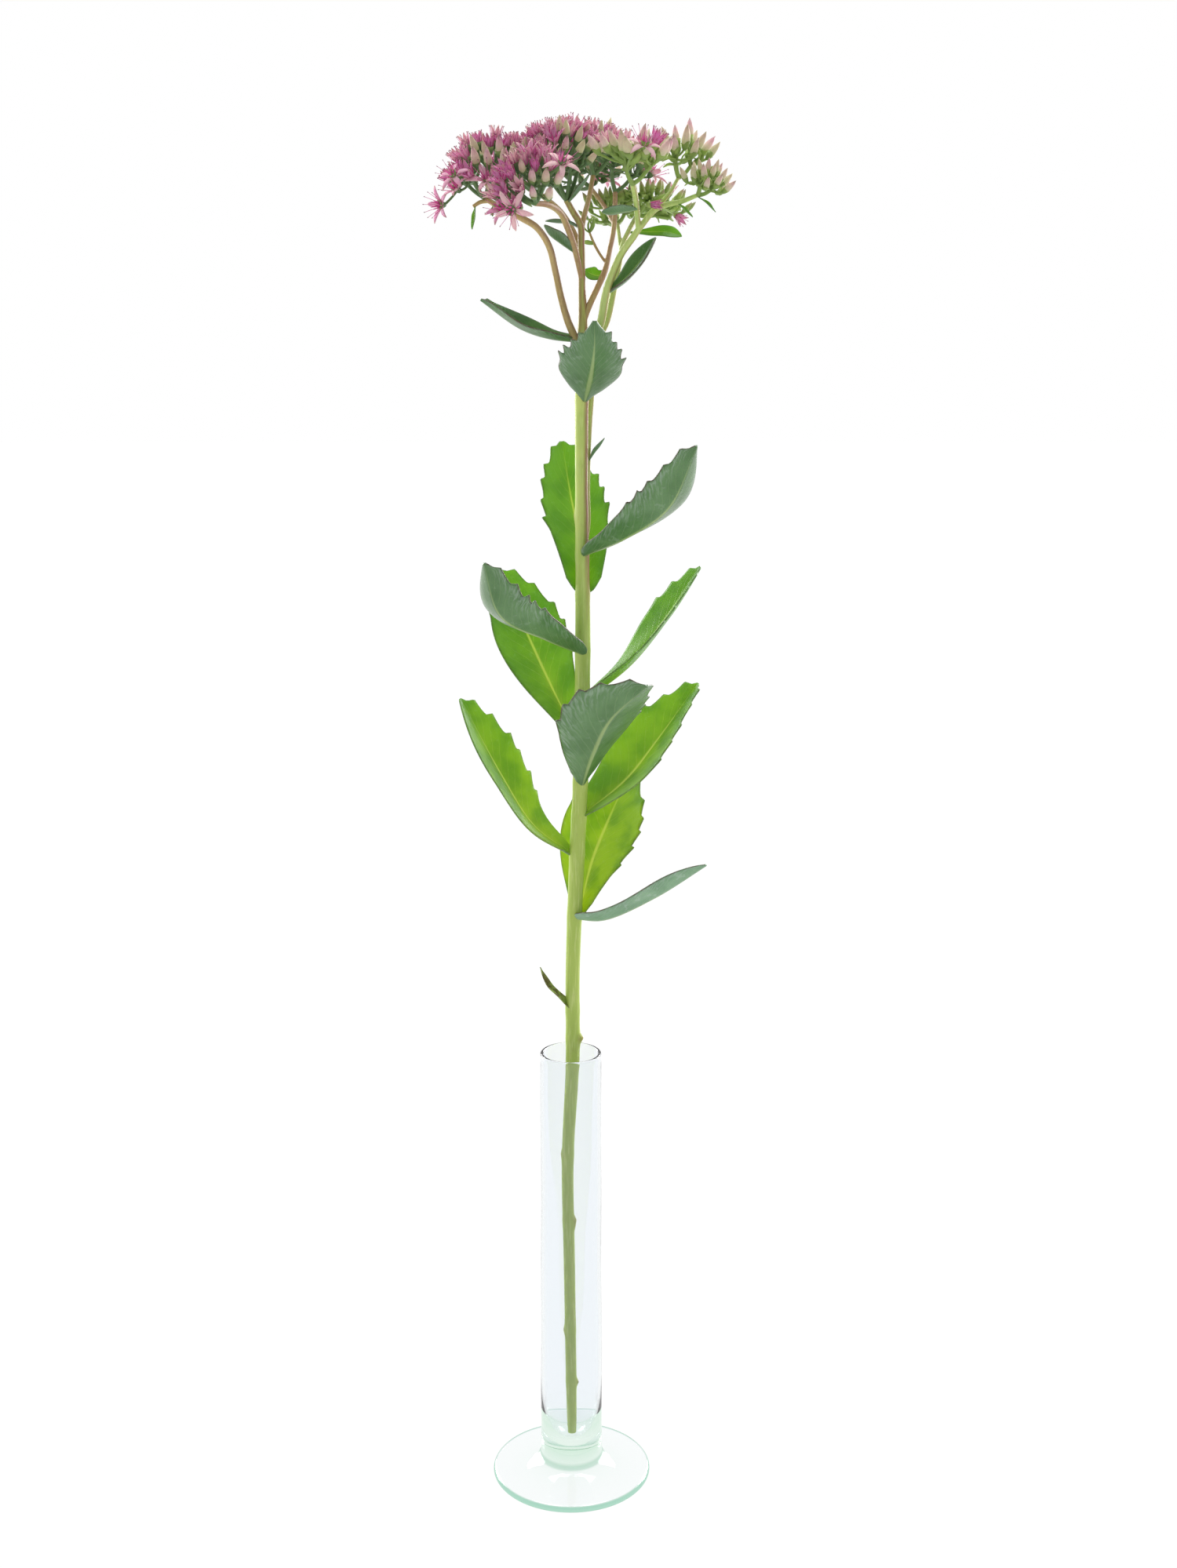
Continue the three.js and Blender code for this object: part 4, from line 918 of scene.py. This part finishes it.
flower = {
    # height of the feet of carpels and stamens above the stalk
    "seat": 0.6,
    # the share of a full swell and taper that a petal or bract runs through
    "taperSpan": 0.86,
    "petal": {"count": 5, "length": 6.0, "width": 1.75, "thickness": 0.22, "foot": 0.55, "footHeight": 0.7,
              "cup": 0.28, "footShare": 0.13, "tipShare": 0.02, "swell": 0.75, "bends": 10, "across": 2,
              "along": 5},
    # how far the petals lean out at the foot and at the tip, in degrees
    "star": [(48, 96), (55, 84), (40, 105)],
    "drooping": [(78, 150), (70, 128)],
    "halfOpen": [(6, 30), (10, 44), (4, 20), (14, 58)],
    "carpel": {"count": 5, "sides": 5, "radius": 0.5, "tip": 0.08, "height": 3.9, "out": 0.45, "lean": 14,
               "turn": 0.6},
    # stamens lean out a share of the way that the petals' tips do
    "stamen": {"count": 10, "sides": 3, "radius": 0.12, "tip": 0.07, "height": 5.9, "out": 0.7, "lean": 8,
               "leanShare": 0.28},
    "anther": {"radius": 0.22, "shape": (0.7, 0.7, 1.2)},
    # rings of height and radius, from the stalk up
    "bud": {"sides": 10, "valley": 0.86, "notch": 0, "notchDepth": 0.5,
            "rings": [(0.2, 0.6), (0.9, 1.1), (2.3, 1.38), (4.2, 1.2), (5.8, 0.68), (7.2, 0.08)]},
    "calyx": {"sides": 10, "valley": 0.84, "notch": 1.0, "notchDepth": 0.5,
              "rings": [(-0.5, 0.5), (0.1, 0.9), (1.1, 1.28), (2.5, 1.48), (1.9, 0.9), (1.4, 0.1)]},
    "bract": {"length": 7.0, "width": 2.0, "thickness": 0.45, "cup": 0.3, "curl": 25, "footShare": 0.12,
              "tipShare": 0.03, "swell": 0.8, "across": 2, "along": 4},
}


def markAlong(piece, height):
    # how far along the piece each point is, for its colours
    setAttribute(piece, "along", [shareOf(vertex.co.z / mm, 0, height) for vertex in piece.data.vertices])


def spindle(name, shape):
    # a disc extruded ring by ring and pinched into petals or sepals
    deselectAll()
    (low, radius), *rest = shape["rings"]
    bpy.ops.mesh.primitive_circle_add(vertices=shape["sides"], radius=radius * mm, fill_type="NGON",
                                      location=(0, 0, low * mm))
    piece = bpy.context.object
    bpy.ops.object.transform_apply(location=True, rotation=False, scale=False)
    bpy.ops.object.mode_set(mode="EDIT")
    for z, r in rest:
        bpy.ops.mesh.extrude_region_move(TRANSFORM_OT_translate={"value": (0, 0, (z - low) * mm)})
        bpy.ops.transform.resize(value=(r / radius, r / radius, 1), center_override=(0, 0, z * mm))
        low, radius = z, r
    bpy.ops.mesh.merge(type="CENTER")
    bpy.ops.mesh.select_all(action="SELECT")
    bpy.ops.mesh.fill_holes(sides=0)
    bpy.ops.mesh.normals_make_consistent(inside=False)
    bpy.ops.object.mode_set(mode="OBJECT")
    top = max(z for z, r in shape["rings"])
    for vertex in piece.data.vertices:
        turn = round(math.atan2(vertex.co.y, vertex.co.x) / (2 * math.pi / shape["sides"]))
        if turn % 2:
            vertex.co.x *= shape["valley"]
            vertex.co.y *= shape["valley"]
            if vertex.co.z / mm > top - shape["notchDepth"]:
                vertex.co.z -= shape["notch"] * mm
    piece.name = name
    markAlong(piece, top)
    return piece


def taper(s, form):
    # half the width at a share of the length, narrow at the foot and pointed
    angle = math.pi * min(form["footShare"] + flower["taperSpan"] * s, 1)
    return form["width"] / 2 * max(math.sin(angle), form["tipShare"]) ** form["swell"]


def petal(lean):
    # one channelled petal that leans out from the foot to the tip
    form = flower["petal"]
    deselectAll()
    bpy.ops.mesh.primitive_grid_add(x_subdivisions=form["across"], y_subdivisions=form["along"], size=1)
    piece = bpy.context.object
    along = []
    for vertex in piece.data.vertices:
        s, q = vertex.co.y + 0.5, 2 * vertex.co.x
        out, rise, steps = form["foot"], form["footHeight"], form["bends"]
        for i in range(steps):
            angle = math.radians(lean[0] + (lean[1] - lean[0]) * s * (i + 0.5) / steps)
            out += math.sin(angle) * s * form["length"] / steps
            rise += math.cos(angle) * s * form["length"] / steps
        half = taper(s, form)
        angle = math.radians(lean[0] + (lean[1] - lean[0]) * s)
        lift = form["cup"] * half * q * q
        vertex.co = Vector((out - lift * math.cos(angle), q * half, rise + lift * math.sin(angle))) * mm
        along.append(s)
    setAttribute(piece, "along", along)
    applyModifier(piece, "SOLIDIFY", thickness=form["thickness"] * mm, offset=0)
    return piece


def ringOf(piece, count, start=0.0):
    # copies of a piece round the flower's axis, each with its own mesh
    copies = [piece]
    for i in range(1, count):
        copy = piece.copy()
        copy.data = piece.data.copy()
        bpy.context.collection.objects.link(copy)
        copies.append(copy)
    for i, copy in enumerate(copies):
        copy.data.transform(Matrix.Rotation(start + 2 * math.pi * i / count, 4, "Z"))
    return copies


def corolla(name, lean):
    whole = joined(name, ringOf(petal(lean), flower["petal"]["count"]))
    whole.data.materials.append(petalPink)
    return whole


def standing(form, lean):
    # moves what stands on the axis to its seat beside it, leaning out
    turn = Matrix.Rotation(math.radians(lean), 4, "Y")
    return Matrix.Translation((form["out"] * mm, 0, flower["seat"] * mm)) @ turn


def spike(form, lean):
    # a slender cone that stands beside the axis and leans out
    deselectAll()
    bpy.ops.mesh.primitive_cone_add(vertices=form["sides"], radius1=form["radius"] * mm,
                                    radius2=form["tip"] * mm, depth=form["height"] * mm)
    piece = bpy.context.object
    piece.data.transform(Matrix.Translation((0, 0, form["height"] / 2 * mm)))
    markAlong(piece, form["height"])
    piece.data.transform(standing(form, lean))
    return piece


def pistils(name, lean):
    # five carpels and ten stamens with their anthers
    carpel, stamen = flower["carpel"], flower["stamen"]
    parts = ringOf(spike(carpel, carpel["lean"]), carpel["count"], carpel["turn"])
    spread = stamen["lean"] + lean[1] * stamen["leanShare"]
    thread = spike(stamen, spread)
    for piece in parts + [thread]:
        piece.data.materials.append(pistilMagenta)
    deselectAll()
    bpy.ops.mesh.primitive_ico_sphere_add(subdivisions=1, radius=flower["anther"]["radius"] * mm)
    anther = bpy.context.object
    top = Matrix.Translation((0, 0, stamen["height"] * mm))
    anther.data.transform(standing(stamen, spread) @ top @ Matrix.Diagonal((*flower["anther"]["shape"], 1)))
    setAttribute(anther, "along", [0.5] * len(anther.data.vertices))
    anther.data.materials.append(antherDark)
    parts += ringOf(joined("thread", [thread, anther]), stamen["count"])
    return joined(name, parts)


def bractLeaf():
    # one pointed, channelled bract that stands on its foot and leans towards +X
    form = flower["bract"]
    deselectAll()
    bpy.ops.mesh.primitive_grid_add(x_subdivisions=form["across"], y_subdivisions=form["along"], size=1)
    piece = bpy.context.object
    along = []
    for vertex in piece.data.vertices:
        s, q = vertex.co.y + 0.5, 2 * vertex.co.x
        half = taper(s, form)
        bend = math.radians(form["curl"]) * s * s
        lift = form["cup"] * half * q * q
        vertex.co = Vector((form["length"] * s * math.sin(bend) - lift, q * half,
                            form["length"] * s * math.cos(bend))) * mm
        along.append(s)
    setAttribute(piece, "along", along)
    applyModifier(piece, "SOLIDIFY", thickness=form["thickness"] * mm, offset=0)
    return piece


kinds = {}
for kind in ("star", "drooping", "halfOpen"):
    kinds[kind] = [(corolla(f"{kind}Petals{i}", lean), pistils(f"{kind}Middle{i}", lean))
                   for i, lean in enumerate(flower[kind])]
budShape = spindle("budShape", flower["bud"])
calyxShape = spindle("calyxShape", flower["calyx"])
bractShape = bractLeaf()

# The flower clusters, each a dome of florets on a branch's end. Spread is the dome's radius and drop its
# height, open is the share of open flowers, and singles stand apart as a place, a way and a kind.
cymes = [
    {"name": "left_outer", "foot": [-27.4, -8, 471.2], "top": [-30, -8, 485.5],
     "leans": [-0.45, -0.15, 0.85], "spread": 13, "drop": 9, "florets": 38, "open": 0.6,
     "singles": [[[-36.5, -20, 477], [-0.35, -0.75, 0.5], "drooping"],
                 [[-41, -14, 469], [-0.8, -0.5, 0.1], "star"]]},
    {"name": "left_front", "foot": [-10.6, -26, 468.8], "top": [-14.5, -28, 479.5],
     "leans": [-0.3, -0.5, 0.8], "spread": 11.5, "drop": 9, "florets": 34, "open": 0.65,
     "singles": [[[-17.2, -38, 466.5], [-0.3, -0.9, -0.2], "drooping"],
                 [[-2.2, -36, 479.5], [0.15, -0.8, 0.6], "drooping"]]},
    {"name": "centre_top", "foot": [-0.8, -1.2, 471], "top": [-3.5, -4, 492], "leans": [0, -0.15, 1],
     "spread": 12, "drop": 9, "florets": 40, "open": 0.65, "singles": []},
    {"name": "centre_right", "foot": [8.2, 12, 480], "top": [10, 8, 491.5], "leans": [0.1, -0.1, 1],
     "spread": 9, "drop": 6, "florets": 24, "open": 0.5, "singles": []},
    {"name": "centre_rear", "foot": [15.7, 25, 475], "top": [18, 27, 488], "leans": [0.15, 0.2, 1],
     "spread": 11, "drop": 7, "florets": 24, "open": 0.5, "singles": []},
    {"name": "rear_left", "foot": [-10, 19, 474], "top": [-15, 22, 486.5], "leans": [-0.3, 0.3, 1],
     "spread": 12, "drop": 7, "florets": 32, "open": 0.7, "singles": []},
    {"name": "rear_centre", "foot": [7, 32, 477], "top": [1, 38, 484], "leans": [-0.2, 0.5, 1],
     "spread": 10, "drop": 6, "florets": 22, "open": 0.6, "singles": []},
    {"name": "right_front", "foot": [20.7, -21, 475], "top": [21, -22, 485.5], "leans": [0.05, -0.1, 1],
     "spread": 11, "drop": 3, "florets": 20, "open": 0.1, "size": 1.1, "light": True,
     "singles": [[[23.8, -31, 485], [0.1, -0.55, 0.8], "drooping"]]},
    {"name": "right_middle", "foot": [36.2, -4, 478], "top": [37.7, -3.2, 488], "leans": [0.1, 0, 1],
     "spread": 8, "drop": 4, "florets": 14, "open": 0, "size": 1.1, "light": True, "singles": []},
    {"name": "right_outer", "foot": [42, -15.5, 471.9], "top": [46.5, -16.5, 479],
     "leans": [0.3, -0.1, 1], "spread": 6.5, "drop": 6, "florets": 18, "open": 0, "size": 0.75,
     "light": True, "singles": []},
    {"name": "right_rear", "foot": [23.5, 31.5, 467.6], "top": [30, 33, 475], "leans": [0.2, 0.2, 1],
     "spread": 12, "drop": 6, "florets": 28, "open": 0.1, "size": 0.75, "light": True, "young": True,
     "singles": [[[34.4, -8, 466.5], [0.5, -0.6, -0.4], "halfOpen"],
                 [[24.9, -14, 469], [0.8, -0.5, 0], "halfOpen"]]},
    {"name": "rear_inner", "foot": [16.5, 29, 464.5], "top": [14, 36, 471.5], "leans": [-0.1, 0.4, 1],
     "spread": 9, "drop": 4, "florets": 18, "open": 0, "size": 0.75, "light": True, "young": True,
     "singles": []},
]
cymeForm = {
    # the step that shares out the open flowers never falls in with the spiral's own
    "lift": 0.3, "openStep": 0.754878, "firstOpen": 0.3, "starsFrom": 0.8, "starEvery": 3,
    "hubShare": 0.4, "hubSpread": 0.4, "floretsPerHub": 7, "leastHubs": 3, "forkSize": 3, "forkShare": 0.45,
    # radii along the rays to the hubs, the forks above them and the flowers' stalks
    "rayRadii": (0.85, 0.7, 0.7), "forkRadii": (0.6, 0.52), "stalkRadii": (0.48, 0.4, 0.45),
    "rayBow": 0.4, "bendShare": 0.6, "bend": 0.5, "sides": 6, "samples": 3,
    "tilt": 12, "sizeSpread": 0.14, "heightSpread": 1.1,
    # bracts at each fork, their sizes and how much the fork's own way turns them
    "bracts": {"young": 3, "light": 2, "dark": 1}, "bractScale": {"young": 1.05, "light": 1.05, "dark": 0.8},
    "bractSizes": (0.5, 1.0), "bractRise": (-0.2, 0.6), "bractWay": 0.6,
}


def floretPlaces(cyme):
    # places on the dome's spiral, with open and closed flowers mixed evenly
    top, axis = Vector(cyme["top"]), Vector(cyme["leans"]).normalized()
    right, back = acrossAxis(axis)
    places = [{"base": Vector(at), "looks": Vector(looks).normalized(), "kind": kind}
              for at, looks, kind in cyme["singles"]]
    for i in range(cyme["florets"]):
        share = math.sqrt((i + 0.5) / cyme["florets"])
        outward = right * math.cos(i * goldenAngle) + back * math.sin(i * goldenAngle)
        isOpen = (i * cymeForm["openStep"] + cymeForm["firstOpen"]) % 1 < cyme["open"]
        isStar = share > cymeForm["starsFrom"] and i % cymeForm["starEvery"] == 0
        kind = "bud" if not isOpen else "star" if isStar else "halfOpen"
        places.append({
            "base": top + outward * share * cyme["spread"] - axis * cyme["drop"] * share ** 2,
            "looks": (axis + outward * share + Vector((0, 0, cymeForm["lift"]))).normalized(), "kind": kind})
    return places


def facing(place, looks):
    # stands a shape at a place in millimetres, looking a way, turned by chance
    turn = Matrix.Rotation(luck.uniform(0, 2 * math.pi), 4, "Z")
    return Matrix.Translation(place * mm) @ looks.to_track_quat("Z", "Y").to_matrix().to_4x4() @ turn


def placed(shape, matrix, tint, material=None):
    # a copy with its own mesh, put in its place
    copy = shape.copy()
    copy.data = shape.data.copy()
    copy.data.transform(matrix)
    bpy.context.collection.objects.link(copy)
    setAttribute(copy, "tint", [tint] * len(copy.data.vertices))
    if material:
        copy.data.materials.append(material)
    return copy


def hubsOf(cyme, places):
    # a ring of places where the rays fork
    foot, top = Vector(cyme["foot"]), Vector(cyme["top"])
    axis = (top - foot).normalized()
    right, back = acrossAxis(axis)
    count = max(cymeForm["leastHubs"], round(len(places) / cymeForm["floretsPerHub"]))
    ring = cyme["spread"] * cymeForm["hubSpread"]
    middle = foot.lerp(top, cymeForm["hubShare"])
    turns = [2 * math.pi * i / count for i in range(count)]
    return [middle + right * math.cos(turn) * ring + back * math.sin(turn) * ring for turn in turns]


def stalkLines(cyme, places):
    # rays from the foot to the hubs, forks above them, and a stalk to each flower
    foot = Vector(cyme["foot"])
    lines, forks = [], []
    hubs = hubsOf(cyme, places)
    groups = [[p for p in places if min(hubs, key=lambda h: (h - p["base"]).length) is hub] for hub in hubs]
    for hub, group in zip(hubs, groups):
        way = hub - foot
        upwards = way.cross(Vector((0, 0, 1))).cross(way).normalized()
        bow = foot.lerp(hub, 0.5) - upwards * cymeForm["rayBow"]
        lines.append([[*spot, radius] for spot, radius in zip((foot, bow, hub), cymeForm["rayRadii"])])
        forks.append((hub, way.normalized()))
        for n in range(0, len(group), cymeForm["forkSize"]):
            few = group[n:n + cymeForm["forkSize"]]
            middle = sum((p["base"] for p in few), Vector()) / len(few)
            fork = hub.lerp(middle, cymeForm["forkShare"])
            lines.append([[*spot, radius] for spot, radius in zip((hub, fork), cymeForm["forkRadii"])])
            forks.append((fork, (middle - hub).normalized()))
            for p in few:
                bend = fork.lerp(p["base"], cymeForm["bendShare"]) - p["looks"] * cymeForm["bend"]
                spots = (fork, bend, p["base"])
                lines.append([[*spot, radius] for spot, radius in zip(spots, cymeForm["stalkRadii"])])
    return lines, forks


def cymePieces(cyme):
    # a cluster's petals, middles, buds, and its green calyces, bracts and stalks
    places = floretPlaces(cyme)
    age = "young" if "young" in cyme else "light" if "light" in cyme else "dark"
    green = calyxDark if age == "dark" else calyxLight
    budSkin = budYoung if age == "young" else budPale
    petals, middles, buds, greens = [], [], [], []
    for place in places:
        size = cyme.get("size", 1) * (1 + luck.uniform(-1, 1) * cymeForm["sizeSpread"])
        tilt = math.radians(luck.uniform(-1, 1) * cymeForm["tilt"])
        place["base"] = place["base"] + place["looks"] * luck.uniform(-1, 1) * cymeForm["heightSpread"]
        matrix = facing(place["base"], place["looks"]) @ Matrix.Rotation(tilt, 4, "X") @ Matrix.Scale(size, 4)
        tint = luck.random()
        if place["kind"] == "bud":
            buds.append(placed(budShape, matrix, tint, budSkin))
        else:
            corollaShape, middleShape = luck.choice(kinds[place["kind"]])
            petals.append(placed(corollaShape, matrix, tint))
            middles.append(placed(middleShape, matrix, tint))
        greens.append(placed(calyxShape, matrix, tint, green))
    lines, forks = stalkLines(cyme, places)
    for spot, way in forks:
        for n in range(cymeForm["bracts"][age]):
            aside = Vector((luck.uniform(-1, 1), luck.uniform(-1, 1), luck.uniform(*cymeForm["bractRise"])))
            size = luck.uniform(*cymeForm["bractSizes"]) * cymeForm["bractScale"][age]
            matrix = facing(spot, (way * cymeForm["bractWay"] + aside).normalized()) @ Matrix.Scale(size, 4)
            greens.append(placed(bractShape, matrix, luck.random(), green))
    stalks = tubes("stalks", lines, cymeForm["sides"], cymeForm["samples"])
    setAttribute(stalks, "along", [0.3] * len(stalks.data.vertices))
    setAttribute(stalks, "tint", [0.5] * len(stalks.data.vertices))
    stalks.data.materials.append(green)
    node = "cyme_" + cyme["name"]
    for title, group, slot in (("petals_", petals, "pink_flower"), ("middles_", middles, "pink_flower"),
                               ("buds_", buds, "pale_bud"), ("stalks_", greens + [stalks], "green_calyx")):
        if group:
            finishPiece(joined(title + cyme["name"], group), [], slot, node)


for cyme in cymes:
    cymePieces(cyme)

# the young sprout on the middle branch ends in a few bright leaflets, each at its place and looking its way
sprout = {
    "size": 0.75,
    "leaflets": [
        ([6.8, 8.5, 461], (-0.2, 0, 1)), ([6.8, 8.5, 461], (0.5, -0.2, 0.9)),
        ([6.8, 8.5, 461], (-0.8, -0.2, 0.6)), ([6.8, 8.5, 461], (0.3, 0.5, 0.8)),
        ([8.4, 8.5, 457.3], (-0.9, -0.3, 0.2))],
}
leaflets = []
for place, way in sprout["leaflets"]:
    matrix = facing(Vector(place), Vector(way).normalized()) @ Matrix.Scale(sprout["size"], 4)
    leaflets.append(placed(bractShape, matrix, luck.random(), calyxLight))
finishPiece(joined("sprout_leaflets", leaflets), [], "green_leaf", "branch_middle")

# the shapes that were copied go
templates = [shape for pairs in kinds.values() for pair in pairs for shape in pair]
for template in [*templates, budShape, calyxShape, bractShape]:
    bpy.data.objects.remove(template)
print("flowers placed")
